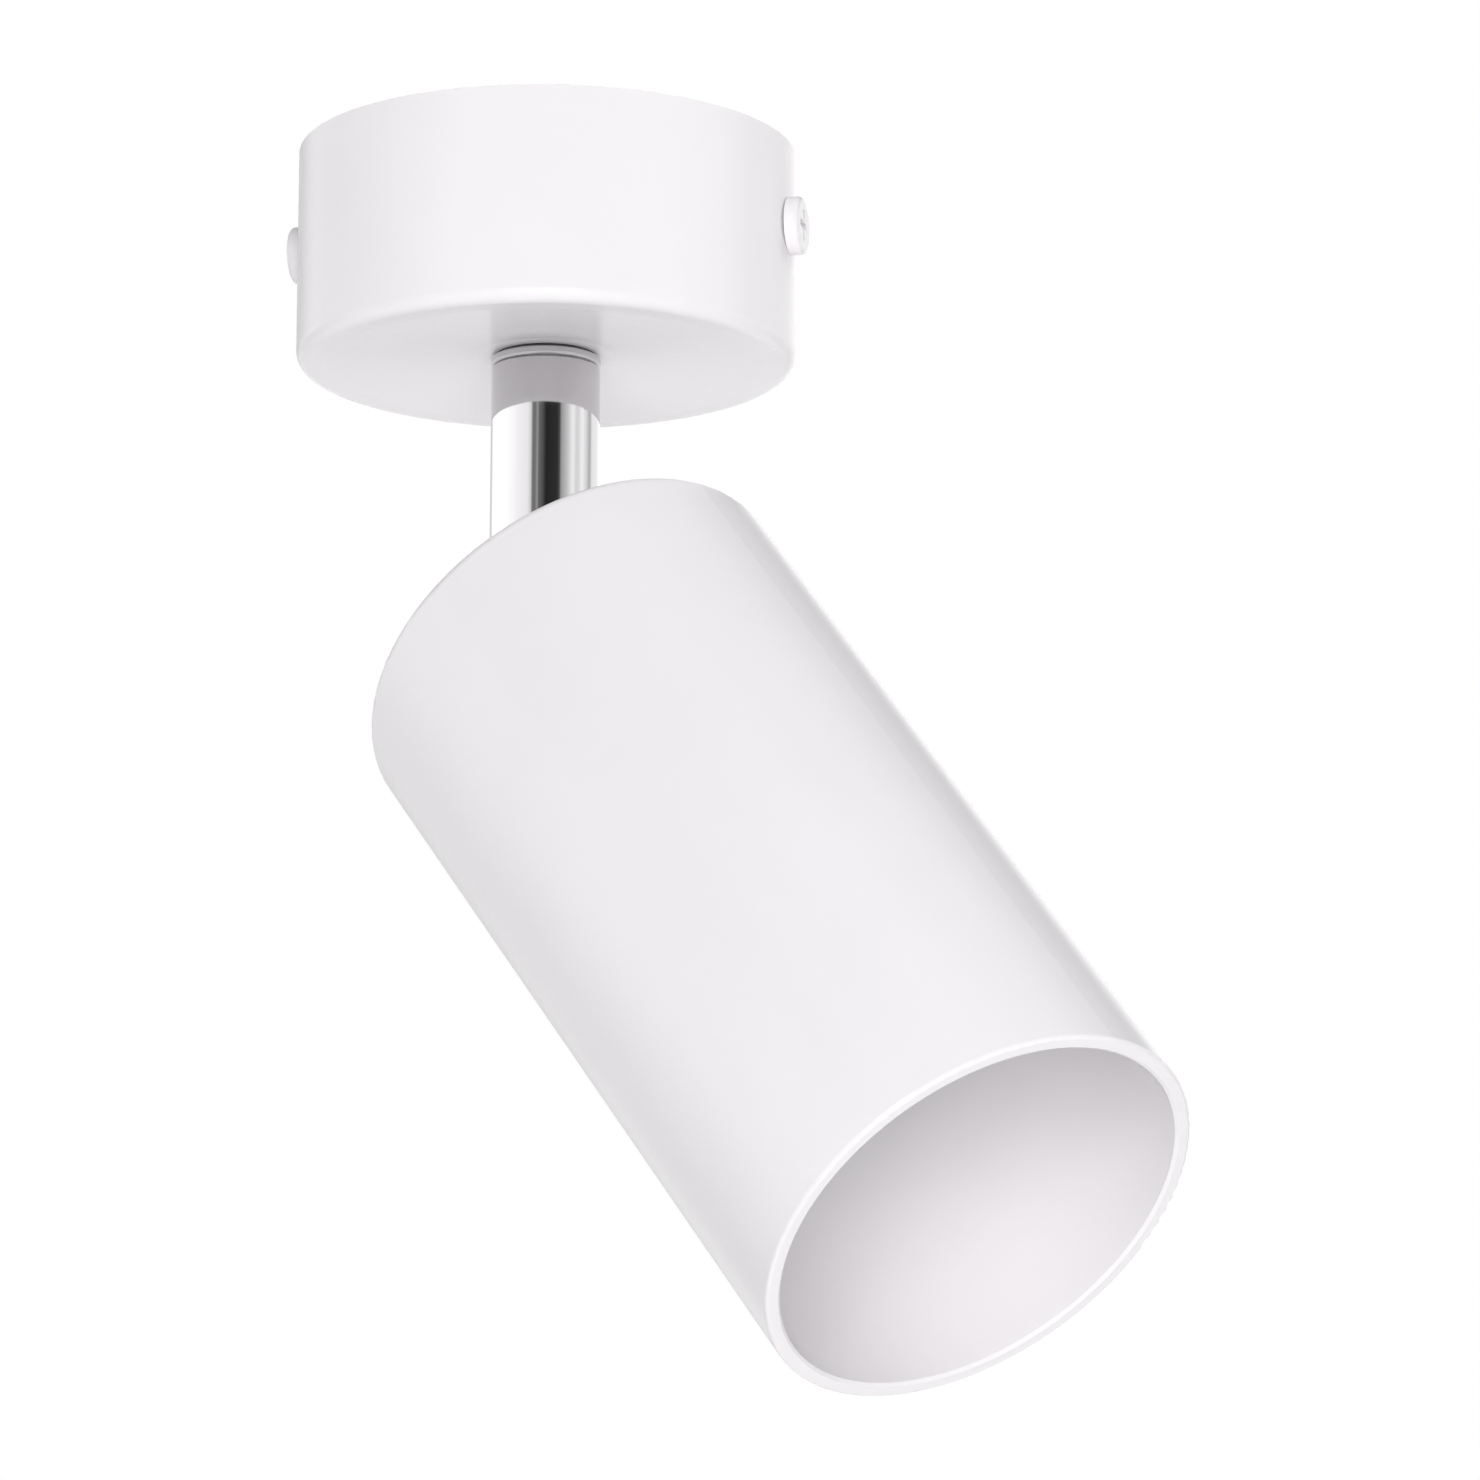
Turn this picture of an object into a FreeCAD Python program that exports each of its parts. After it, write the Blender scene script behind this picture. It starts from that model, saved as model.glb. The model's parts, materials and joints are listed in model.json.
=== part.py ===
import FreeCAD, Part
import math
import os
import re
import Sketcher

# Surface mounted ceiling spotlight with a swivelling, tilting head.
#
# Millimetres. The origin is the centre of the ceiling plane, +Z up, so the lamp hangs in -Z.
# +X runs through the two side screws of the canopy. The head turns about Z (swivel) and
# tilts about a level axis through the fork at the lower end of the stem.

Vector = FreeCAD.Vector

# ---------------------------------------------------------------- driving sizes
SIZES = {
    # pose of the head in the photograph
    "swivel_angle": -31.5,
    "tilt_angle": 41.0,
    # canopy cup
    "canopy_radius": 33.25,
    "canopy_height": 29.1,
    "canopy_wall": 1.0,
    "canopy_edge_radius": 1.7,
    "dish_depth": 1.6,
    "dish_radius": 29.0,
    "hub_radius": 9.0,
    "side_screw_depth": 11.6,
    "side_hole_radius": 2.3,
    # clearances
    "running_gap": 0.05,
    "seat_gap": 0.3,
    # ceiling bracket
    "bracket_width": 18.0,
    "bracket_thickness": 1.5,
    "bracket_rise": 3.0,
    "bracket_middle": 11.0,
    "bracket_bend": 1.2,
    "tab_length": 17.0,
    "cable_hole_radius": 6.0,
    "wing_half_width": 11.5,
    "wing_reach": 25.0,
    "slot_spacing": 40.0,
    "slot_length": 8.0,
    "slot_width": 4.6,
    # M4 side screws
    "side_screw_radius": 1.95,
    "side_screw_length": 6.5,
    "side_head_radius": 3.9,
    "side_head_height": 1.9,
    "side_head_rounding": 0.6,
    # terminal block, three poles
    "pole_pitch": 8.0,
    "block_width": 15.0,
    "block_height": 11.0,
    "block_centre": 17.0,
    "block_end_wall": 0.5,
    "groove_width": 1.2,
    "groove_length": 2.5,
    "groove_web": 2.0,
    "clamp_depth": 4.0,
    "clamp_radius": 2.5,
    "clamp_bore": 1.5,
    "clamp_length": 12.0,
    "clamp_screw_offset": 3.2,
    "clamp_screw_radius": 1.2,
    "clamp_screw_head": 1.75,
    "clamp_screw_head_height": 1.4,
    "clamp_screw_sink": 1.0,
    "clamp_screw_bite": 0.9,
    "well_radius": 1.9,
    "block_screw_radius": 1.2,
    "block_screw_head": 2.2,
    "block_screw_head_height": 1.6,
    "screw_slot_width": 0.5,
    "screw_slot_depth": 0.6,
    "screw_end": 0.8,
    # earth stud on the canopy floor
    "earth_offset": 20.6,
    "earth_stud_radius": 1.95,
    "earth_stud_height": 8.0,
    "earth_nut_flats": 7.0,
    "earth_nut_height": 3.2,
    "tag_radius": 4.0,
    "tag_thickness": 0.8,
    "tooth_washer_thickness": 0.6,
    "tooth_washer_radius": 3.6,
    "barrel_radius": 1.4,
    "barrel_gap": 0.6,
    "barrel_length": 5.0,
    # swivel joint: hollow nipple, washers, stop and lock nut
    "nipple_radius": 4.95,
    "nipple_bore": 3.5,
    "nipple_flat": 4.3,
    "slip_radius": 6.6,
    "slip_thickness": 0.4,
    "spring_height": 1.0,
    "spring_radius": 8.0,
    "stop_thickness": 1.0,
    "stop_disc_radius": 8.5,
    "stop_finger_width": 3.0,
    "stop_finger_overhang": 0.75,
    "stop_stud_radius": 1.25,
    "stop_stud_offset": 14.0,
    "lock_nut_flats": 14.0,
    "lock_nut_height": 3.0,
    "nipple_reach": 1.5,
    # stem
    "stem_radius": 7.25,
    "stem_bore": 5.0,
    "stem_space": 5.0,
    "collar_radius": 7.35,
    "collar_height": 1.2,
    "collar_rounding": 0.35,
    "pivot_depth": 62.7,
    # fork and tilt lug
    "slot_root": 7.8,
    "fork_web": 1.8,
    "fork_gap": 7.4,
    "fork_bore": 2.6,
    "lug_offset": 7.5,
    "lug_base": 1.0,
    "leaf_width": 12.0,
    "leaf_outer": 6.8,
    "leaf_inner": 3.8,
    "hinge_screw_radius": 1.5,
    "hinge_head_radius": 2.75,
    "hinge_head_height": 1.55,
    "ear_seat": 5.0,
    "lug_thread_radius": 4.0,
    "lug_bore": 2.2,
    "lug_thread_length": 7.6,
    # head shell
    "head_radius": 30.0,
    "head_length": 111.2,
    "head_wall": 2.1,
    "cap_thickness": 2.0,
    "cap_edge_radius": 1.5,
    "rim_rounding": 0.5,
    "rim_chamfer": 0.4,
    # inside the head
    "carrier_thickness": 1.2,
    "carrier_width": 14.0,
    "carrier_reach": 16.8,
    "carrier_foot": 8.0,
    "cap_nut_flats": 13.0,
    "cap_nut_height": 2.5,
    "holder_drop": 12.2,
    "holder_length": 30.0,
    "holder_width": 17.0,
    "holder_height": 10.0,
    "holder_corner": 3.0,
    "holder_screw_offset": 11.5,
    "holder_screw_radius": 1.5,
    "holder_screw_head": 2.7,
    "holder_screw_head_height": 1.8,
    "holder_screw_sink": 2.4,
    "lead_hole": 3.2,
    "lead_hole_depth": 2.0,
    # twist-lock lamp
    "pin_offset": 5.0,
    "pin_radius": 1.45,
    "pin_head_radius": 2.5,
    "pin_length": 7.0,
    "pin_head_height": 2.2,
    "lock_angle": 25.0,
    "lamp_radius": 25.0,
    "lamp_length": 45.0,
    "lamp_neck_radius": 9.5,
    "lens_radius": 23.2,
    "lens_thickness": 1.3,
    # leads
    "lead_radius": 0.65,
    "lead_spread": 0.85,
    "sleeve_radius": 1.7,
    "sleeve_overhang": 3.0,
    "sleeve_inset": 2.5,
}

# Places worked out from the driving sizes. Each is an expression over the names above it.
PLACES = {
    # heights below the ceiling in the canopy
    "floor_top": "canopy_wall - canopy_height",
    "hub_under": "dish_depth - canopy_height",
    "hub_top": "hub_under + canopy_wall",
    "dish_slope": "dish_depth / (dish_radius - hub_radius)",
    "cup_inside": "canopy_radius - canopy_wall",
    "tab_face": "sqrt(cup_inside ^ 2 - bracket_width ^ 2 / 4) - seat_gap",
    "raised_under": "-bracket_rise - bracket_thickness",
    "block_under": "raised_under - block_height",
    "clamp_height": "raised_under - clamp_depth",
    "block_near": "block_centre - block_width / 2",
    "block_far": "block_centre + block_width / 2",
    # seats on the dished floor, each at the highest point under its piece
    "stop_seat": "floor_top + (dish_radius - stop_stud_offset + stop_stud_radius) * dish_slope",
    "stud_seat": "floor_top + (dish_radius - earth_offset + earth_stud_radius) * dish_slope",
    "tag_seat": "floor_top + (dish_radius - earth_offset + tag_radius) * dish_slope",
    "tag_top": "tag_seat + tag_thickness",
    "earth_nut_under": "tag_top + tooth_washer_thickness",
    "earth_barrel_height": "tag_seat + barrel_radius",
    # swivel stack, from the canopy outwards in both directions
    "slip_low_top": "hub_under - running_gap",
    "slip_low_under": "slip_low_top - slip_thickness",
    "collar_under": "slip_low_under - collar_height",
    "slip_up_under": "hub_top + running_gap",
    "slip_up_top": "slip_up_under + slip_thickness",
    "spring_top": "slip_up_top + spring_height",
    "stop_top": "spring_top + stop_thickness",
    "lock_nut_top": "stop_top + lock_nut_height",
    "nipple_top": "lock_nut_top + nipple_reach",
    "sleeve_top": "nipple_top + sleeve_overhang",
    # stem and fork, the latter measured from the pivot. Nipple and spigot share the tube's bore
    "fork_top": "slot_root + fork_web",
    "tube_under": "fork_top - pivot_depth",
    "tube_share": "(collar_under - tube_under - stem_space) / 2",
    "nipple_under": "collar_under - tube_share",
    "spigot_top": "fork_top + tube_share",
    # head, measured from the pivot, negative towards the mouth
    "cap_top": "-lug_offset - lug_base",
    "cap_under": "cap_top - cap_thickness",
    "mouth": "cap_top - head_length",
    "head_bore": "head_radius - head_wall",
    "carrier_under": "cap_under - carrier_thickness",
    "tooth_under": "carrier_under - tooth_washer_thickness",
    "head_tag_under": "tooth_under - tag_thickness",
    "head_barrel_height": "head_tag_under + tag_thickness - barrel_radius",
    "cap_nut_under": "head_tag_under - cap_nut_height",
    "lug_end": "cap_top - lug_thread_length",
    "sleeve_end": "lug_end + sleeve_inset",
    "holder_top": "cap_under - holder_drop",
    "holder_under": "holder_top - holder_height",
    "foot_top": "holder_top + carrier_thickness",
    "lamp_base": "holder_under - running_gap",
    "lamp_face": "lamp_base - lamp_length",
    "lens_seat": "lamp_face + lens_thickness + seat_gap",
}

# Frames in which the pieces are drawn: at the ceiling, in the turned stem, at the pivot
# of the turned stem, and in the turned and tilted head.
TURN = "placement(vector(0; 0; 0); rotation(vector(0; 0; 1); swivel_angle))"
DROP = "placement(vector(0; 0; -pivot_depth); rotation(vector(0; 0; 1); 0))"
TILT = "placement(vector(0; 0; -pivot_depth); rotation(vector(0; -1; 0); tilt_angle))"
STEM = TURN
PIVOT = TURN + " * " + DROP
HEAD = TURN + " * " + TILT

FULL_TURN = 360
THROUGH = "4 * head_radius"
NEAR = 0.01

DOC = FreeCAD.newDocument("ceiling_spotlight")
NODES = []


# ---------------------------------------------------------------- sheet and expressions
def make_sheet():
    sheet = DOC.addObject("Spreadsheet::Sheet", "Sizes")
    for row, (alias, size) in enumerate(SIZES.items(), 1):
        sheet.set(f"A{row}", alias)
        sheet.set(f"B{row}", str(size))
        sheet.setAlias(f"B{row}", alias)
    DOC.recompute()
    return sheet


SHEET = make_sheet()


def linked(text):
    """The expression with every place written out and every size pointing at the sheet."""

    def link(match):
        word = match.group()
        if word in PLACES:
            return "(" + linked(PLACES[word]) + ")"
        return "Sizes." + word if word in SIZES else word

    return re.sub(r"[a-z_]+", link, str(text))


def number(text):
    return float(SHEET.evalExpression(linked(text)))


# ---------------------------------------------------------------- sketches and features
def new_body(label, frame=None):
    body = DOC.addObject("PartDesign::Body", label)
    body.Label = label
    if frame:
        body.setExpression("Placement", linked(frame))
    NODES.append(body)
    return body


def origin_item(body, role):
    return next(item for item in body.Origin.OriginFeatures if item.Role == role)


def pin(sketch, geometry, position, along, text):
    """Fixes one coordinate of a sketch point, on the axis itself where it is nil."""
    if str(text) == "0":
        axis = -2 if along == "DistanceX" else -1
        sketch.addConstraint(Sketcher.Constraint("PointOnObject", geometry, position, axis))
        return
    rule = Sketcher.Constraint(along, -1, 1, geometry, position, number(text))
    index = sketch.addConstraint(rule)
    sketch.setExpression(f"Constraints[{index}]", linked(text))


def new_sketch(body, plane, offset):
    sketch = body.newObject("Sketcher::SketchObject", body.Name + "_sketch")
    sketch.AttachmentSupport = (origin_item(body, plane), [""])
    sketch.MapMode = "FlatFace"
    if offset:
        sketch.setExpression("AttachmentOffset.Base.z", linked(offset))
    return sketch


def outline(body, plane, corners, circles=(), arcs=(), offset=None):
    """A closed outline through the corners, with round holes.

    arcs holds the numbers of the edges that run anticlockwise about the sketch origin.
    """
    sketch = new_sketch(body, plane, offset)
    spots = [Vector(number(x), number(y), 0) for x, y in corners]
    count = len(spots)
    for edge, start in enumerate(spots):
        end = spots[(edge + 1) % count]
        if edge in arcs:
            circle = Part.Circle(Vector(0, 0, 0), Vector(0, 0, 1), start.Length)
            first = math.atan2(start.y, start.x)
            last = math.atan2(end.y, end.x)
            sketch.addGeometry(Part.ArcOfCircle(circle, first, last))
            sketch.addConstraint(Sketcher.Constraint("Coincident", edge, 3, -1, 1))
        else:
            sketch.addGeometry(Part.LineSegment(start, end))
    for edge in range(count):
        joint = Sketcher.Constraint("Coincident", edge, 2, (edge + 1) % count, 1)
        sketch.addConstraint(joint)
    for edge, (x, y) in enumerate(corners):
        if (edge - 1) % count not in arcs:
            pin(sketch, edge, 1, "DistanceX", x)
        pin(sketch, edge, 1, "DistanceY", y)
    add_circles(sketch, circles)
    return sketch


def add_circles(sketch, circles):
    for x, y, radius in circles:
        centre = Vector(number(x), number(y), 0)
        circle = Part.Circle(centre, Vector(0, 0, 1), number(radius))
        index = sketch.addGeometry(circle)
        pin(sketch, index, 3, "DistanceX", x)
        pin(sketch, index, 3, "DistanceY", y)
        rule = sketch.addConstraint(Sketcher.Constraint("Radius", index, number(radius)))
        sketch.setExpression(f"Constraints[{rule}]", linked(radius))


def circle_sketch(body, plane, circles, offset=None):
    sketch = new_sketch(body, plane, offset)
    add_circles(sketch, circles)
    return sketch


def box_corners(x_low, x_high, y_low, y_high):
    return [(x_low, y_low), (x_high, y_low), (x_high, y_high), (x_low, y_high)]


def feature(body, kind, sketch):
    item = body.newObject("PartDesign::" + kind, body.Name + "_" + kind.lower())
    item.Profile = sketch
    return item


def finish(body, item):
    body.Tip = item
    DOC.recompute()
    return item


def revolve(body, sketch, axis="V_Axis", angle=FULL_TURN, kind="Revolution"):
    item = feature(body, kind, sketch)
    item.ReferenceAxis = (sketch, [axis])
    item.Angle = angle
    return finish(body, item)


def pad(body, sketch, length, both_ways=False, reverse=False):
    item = feature(body, "Pad", sketch)
    item.setExpression("Length", linked(length))
    item.Midplane = both_ways
    item.Reversed = reverse
    return finish(body, item)


def pocket(body, sketch, length, both_ways=False, reverse=False):
    before = body.Shape.Volume
    item = feature(body, "Pocket", sketch)
    item.setExpression("Length", linked(length))
    item.Midplane = both_ways
    item.Reversed = reverse
    finish(body, item)
    if body.Shape.Volume >= before:
        raise ValueError(f"{item.Label} cuts nothing")
    return item


def edges_at(shape, spots):
    points = [Part.Vertex(Vector(*[number(value) for value in spot])) for spot in spots]
    found = []
    for index, edge in enumerate(shape.Edges, 1):
        if any(edge.distToShape(point)[0] < NEAR for point in points):
            found.append(f"Edge{index}")
    return found


def dress(body, kind, size_name, size, spots):
    """Rounds or chamfers the edges of the body that pass through the spots."""
    base = body.Tip
    edges = edges_at(base.Shape, spots)
    if not edges:
        raise ValueError(f"{body.Label} has no edge to {kind.lower()}")
    item = body.newObject("PartDesign::" + kind, body.Name + "_" + kind.lower())
    item.Base = (base, edges)
    item.setExpression(size_name, linked(size))
    return finish(body, item)


def fillet(body, radius, spots):
    return dress(body, "Fillet", "Radius", radius, spots)


def chamfer(body, size, spots):
    return dress(body, "Chamfer", "Size", size, spots)


def repeat_round(body, items, count=2):
    """Repeats features about the Z axis of the body."""
    item = body.newObject("PartDesign::PolarPattern", body.Name + "_round")
    item.Originals = items
    item.Axis = (origin_item(body, "Z_Axis"), [""])
    item.Angle = FULL_TURN
    item.Occurrences = count
    return finish(body, item)


def turned(label, frame, corners, axis="V_Axis", plane="XZ_Plane"):
    """A turned piece: the outline goes once round the axis."""
    body = new_body(label, frame)
    revolve(body, outline(body, plane, corners), axis)
    return body


def ring(label, frame, bore, radius, under, top):
    corners = box_corners(bore, radius, under, top)
    return turned(label, frame, corners)


def hexagon(flats):
    reach = f"({flats}) / 2 / cos(30)"
    return [(f"{reach} * cos({a})", "0" if a % 180 == 0 else f"{reach} * sin({a})")
            for a in range(0, FULL_TURN, 60)]


def hex_nut(label, frame, flats, bore, under, height):
    body = new_body(label, frame)
    sketch = outline(body, "XY_Plane", hexagon(flats), [("0", "0", bore)], offset=under)
    pad(body, sketch, height)
    return body


# ---------------------------------------------------------------- leads
def rounded_route(label, points):
    """Straight runs joined by tangent arcs, each as large as its two runs allow."""
    share = 0.45
    edges = []
    radii = []
    start = points[0]
    for before, corner, after in zip(points, points[1:], points[2:]):
        entry = (before - corner).normalize()
        leave = (after - corner).normalize()
        run = share * min((corner - before).Length, (after - corner).Length)
        opening = entry.getAngle(leave)
        radius = run * math.tan(opening / 2)
        radii.append(round(radius, 1))
        middle_way = (entry + leave).normalize()
        centre = corner + middle_way * (radius / math.sin(opening / 2))
        first = corner + entry * run
        last = corner + leave * run
        edges.append(Part.LineSegment(start, first).toShape())
        edges.append(Part.Arc(first, centre - middle_way * radius, last).toShape())
        start = last
    edges.append(Part.LineSegment(start, points[-1]).toShape())
    if radii:
        print(label, "bend radii", radii)
    return Part.Wire(edges)


def lead(label, frame, spots, radius):
    """A round lead along the spots, each a triple of expressions."""
    points = [Vector(*[number(value) for value in spot]) for spot in spots]
    route = rounded_route(label, points)
    size = number(radius)
    section = Part.Wire(Part.makeCircle(size, points[0], points[1] - points[0]))
    solid = route.makePipeShell([section], True, False)
    item = DOC.addObject("Part::Feature", label)
    item.Label = label
    item.Shape = solid
    if frame:
        item.setExpression("Placement", linked(frame))
    expected = math.pi * size ** 2 * route.Length
    if abs(solid.Volume - expected) > NEAR * expected:
        raise ValueError(f"{label} holds {solid.Volume} and should hold {expected}")
    NODES.append(item)
    return item


def lead_start(angle, height):
    """Where a lead leaves the end of the sleeve, at an angle about its axis."""
    return (f"lead_spread * cos({angle})", f"lead_spread * sin({angle})", height)


# ---------------------------------------------------------------- canopy and bracket
def canopy_cup():
    """A drawn cup whose floor is dished in by a few degrees, with a flat hub for the swivel."""
    body = turned("canopy_cup", None, [
        ("canopy_radius", "0"),
        ("canopy_radius", "-canopy_height"),
        ("dish_radius", "-canopy_height"),
        ("hub_radius", "hub_under"),
        ("nipple_radius + running_gap", "hub_under"),
        ("nipple_radius + running_gap", "hub_top"),
        ("hub_radius", "hub_top"),
        ("dish_radius", "floor_top"),
        ("cup_inside", "floor_top"),
        ("cup_inside", "0"),
    ])
    fillet(body, "canopy_edge_radius", [("canopy_radius", "0", "-canopy_height")])
    fillet(body, "canopy_edge_radius - canopy_wall", [("cup_inside", "0", "floor_top")])
    holes = [("0", "-side_screw_depth", "side_hole_radius")]
    pocket(body, circle_sketch(body, "YZ_Plane", holes), THROUGH, both_ways=True)


def ceiling_bracket():
    """A pressed strip: flat ends on the ceiling, a raised middle and two turned-down tabs."""
    body = new_body("ceiling_bracket")
    slope_end = "bracket_middle + bracket_rise"
    shift = "bracket_thickness * tan(22.5)"
    upper = [
        ("bracket_middle", "-bracket_rise"),
        (slope_end, "0"),
        ("tab_face", "0"),
        ("tab_face", "-tab_length"),
    ]
    lower = [
        ("tab_face - bracket_thickness", "-tab_length"),
        ("tab_face - bracket_thickness", "-bracket_thickness"),
        (f"{slope_end} + {shift}", "-bracket_thickness"),
        (f"bracket_middle + {shift}", "raised_under"),
    ]
    half = upper + lower
    other_half = [(f"-({x})", z) for x, z in reversed(half)]
    pad(body, outline(body, "XZ_Plane", half + other_half), "bracket_width", both_ways=True)
    wing = box_corners("-wing_half_width", "wing_half_width", "0", "wing_reach")
    pad(body, outline(body, "XY_Plane", wing, offset="raised_under"), "bracket_thickness")
    for side in ("", "-"):
        fillet(body, "bracket_bend + bracket_thickness", [(side + "tab_face", "0", "0")])
        inner = f"{side}(tab_face - bracket_thickness)"
        fillet(body, "bracket_bend", [(inner, "0", "-bracket_thickness")])
        tip = f"{side}(tab_face - bracket_thickness / 2)"
        ends = [(tip, edge, "-tab_length") for edge in ("bracket_width / 2", "-bracket_width / 2")]
        fillet(body, "bracket_bend * 2", ends)
        corner = (f"{side}wing_half_width", "wing_reach", "raised_under + bracket_thickness / 2")
        fillet(body, "bracket_bend * 2", [corner])
    for side in ("", "-"):
        slot = ceiling_slot(body, side)
        pocket(body, slot, THROUGH, both_ways=True)
    holes = [
        ("0", "0", "cable_hole_radius"),
        ("pole_pitch / 2", "block_centre", "block_screw_radius + running_gap"),
    ]
    pocket(body, circle_sketch(body, "XY_Plane", holes), THROUGH, both_ways=True)
    threads = [("0", "-side_screw_depth", "side_screw_radius + running_gap")]
    pocket(body, circle_sketch(body, "YZ_Plane", threads), THROUGH, both_ways=True)


def ceiling_slot(body, side):
    """The outline of one slot for a ceiling screw, with round ends."""
    middle = f"{side}slot_spacing / 2"
    flat = "(slot_length - slot_width) / 2"
    reach = "slot_width / 2"
    sketch = new_sketch(body, "XY_Plane", None)
    low = number(f"{middle} - {flat}")
    high = number(f"{middle} + {flat}")
    radius = number(reach)
    up = Vector(0, 0, 1)
    quarter = math.pi / 2
    sketch.addGeometry(Part.LineSegment(Vector(low, -radius, 0), Vector(high, -radius, 0)))
    right = Part.Circle(Vector(high, 0, 0), up, radius)
    sketch.addGeometry(Part.ArcOfCircle(right, -quarter, quarter))
    sketch.addGeometry(Part.LineSegment(Vector(high, radius, 0), Vector(low, radius, 0)))
    left = Part.Circle(Vector(low, 0, 0), up, radius)
    sketch.addGeometry(Part.ArcOfCircle(left, quarter, 3 * quarter))
    for edge in range(4):
        following = (edge + 1) % 4
        sketch.addConstraint(Sketcher.Constraint("Tangent", edge, 2, following, 1))
    pin(sketch, 1, 3, "DistanceX", f"{middle} + {flat}")
    pin(sketch, 1, 3, "DistanceY", "0")
    pin(sketch, 3, 3, "DistanceX", f"{middle} - {flat}")
    rule = sketch.addConstraint(Sketcher.Constraint("Radius", 1, radius))
    sketch.setExpression(f"Constraints[{rule}]", linked(reach))
    return sketch


def side_screw_frame():
    return "placement(vector(0; 0; -side_screw_depth); rotation(vector(0; 0; 1); 0))"


def canopy_screws():
    """Two pan head screws with a cross recess, through the cup into the bracket tabs."""
    seat = "canopy_radius + running_gap / 2"
    face = f"{seat} + side_head_height"
    body = new_body("canopy_screws", side_screw_frame())
    sketch = outline(body, "XZ_Plane", [
        (f"{seat} - side_screw_length", "0"),
        (face, "0"),
        (face, "side_head_radius"),
        (seat, "side_head_radius"),
        (seat, "side_screw_radius"),
        (f"{seat} - side_screw_length", "side_screw_radius"),
    ])
    revolve(body, sketch, "H_Axis")
    fillet(body, "side_head_rounding", [(face, "0", "side_head_radius")])
    recess = cross_recess(body, "side_head_radius", face)
    depth = "side_head_height * 0.55"
    for sketch in recess:
        pocket(body, sketch, depth)
    mirror_over(body, "YZ_Plane")


def cross_recess(body, head_radius, face):
    """The two bars of a cross recess in a screw head that looks along +X."""
    long_way = f"{head_radius} * 0.55"
    short_way = f"{head_radius} * 0.12"
    bars = []
    for across, up in ((long_way, short_way), (short_way, long_way)):
        corners = box_corners(f"-({across})", across, f"-({up})", up)
        bars.append(outline(body, "YZ_Plane", corners, offset=face))
    return bars


def mirror_over(body, plane):
    """Copies the whole of a body's solid to the other side of one of its planes."""
    everything = [item for item in body.Group if hasattr(item, "AddSubShape")]
    item = body.newObject("PartDesign::Mirrored", body.Name + "_mirror")
    item.Originals = everything
    item.MirrorPlane = (origin_item(body, plane), [""])
    return finish(body, item)


# ---------------------------------------------------------------- terminal block
def pole_places():
    return ("-pole_pitch", "0", "pole_pitch")


def terminal_body():
    body = new_body("terminal_body")
    half = "1.5 * pole_pitch + block_end_wall"
    corners = box_corners(f"-({half})", half, "block_near", "block_far")
    pad(body, outline(body, "XY_Plane", corners, offset="block_under"), "block_height")
    for wall in ("-pole_pitch / 2", "pole_pitch / 2"):
        sides = (f"{wall} - groove_width / 2", f"{wall} + groove_width / 2")
        near = box_corners(*sides, "block_near - groove_length", "block_near + groove_length")
        far = box_corners(*sides, "block_far - groove_length", "block_far + groove_length")
        for groove in (near, far):
            pocket(body, outline(body, "XY_Plane", groove, offset="block_under"),
                   "block_height - groove_web", reverse=True)
    bores = [(x, "clamp_height", "clamp_radius + running_gap") for x in pole_places()]
    pocket(body, circle_sketch(body, "XZ_Plane", bores), THROUGH, both_ways=True)
    wells = [(x, f"block_centre {sign} clamp_screw_offset", "well_radius")
             for x in pole_places() for sign in "+-"]
    pocket(body, circle_sketch(body, "XY_Plane", wells, offset="block_under"),
           "clamp_height - block_under", reverse=True)
    screw = [("pole_pitch / 2", "block_centre", "block_screw_radius + running_gap")]
    pocket(body, circle_sketch(body, "XY_Plane", screw), THROUGH, both_ways=True)


def terminal_clamps():
    body = new_body("terminal_clamps")
    tubes = [(x, "clamp_height", "clamp_radius") for x in pole_places()]
    bores = [(x, "clamp_height", "clamp_bore") for x in pole_places()]
    offset = "-(block_centre + clamp_length / 2)"
    pad(body, circle_sketch(body, "XZ_Plane", tubes + bores, offset=offset), "clamp_length")
    threads = [(x, f"block_centre {sign} clamp_screw_offset", "clamp_screw_radius + running_gap")
               for x in pole_places() for sign in "+-"]
    pocket(body, circle_sketch(body, "XY_Plane", threads, offset="block_under"),
           "clamp_height - block_under", reverse=True)


def terminal_screws():
    body = new_body("terminal_screws")
    places = [(x, f"block_centre {sign} clamp_screw_offset")
              for x in pole_places() for sign in "+-"]
    shanks = [(x, y, "clamp_screw_radius") for x, y in places]
    heads = [(x, y, "clamp_screw_head") for x, y in places]
    head_under = "block_under + clamp_screw_sink"
    pad(body, circle_sketch(body, "XY_Plane", shanks, offset=head_under),
        f"clamp_height - clamp_radius + clamp_screw_bite - ({head_under})")
    pad(body, circle_sketch(body, "XY_Plane", heads, offset=head_under),
        "clamp_screw_head_height")
    across = "clamp_screw_head * 0.8"
    up = "screw_slot_width / 2"
    for x, y in places:
        slot = box_corners(f"{x} - {across}", f"{x} + {across}", f"{y} - {up}", f"{y} + {up}")
        pocket(body, outline(body, "XY_Plane", slot, offset=head_under), "screw_slot_depth",
               reverse=True)


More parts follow.
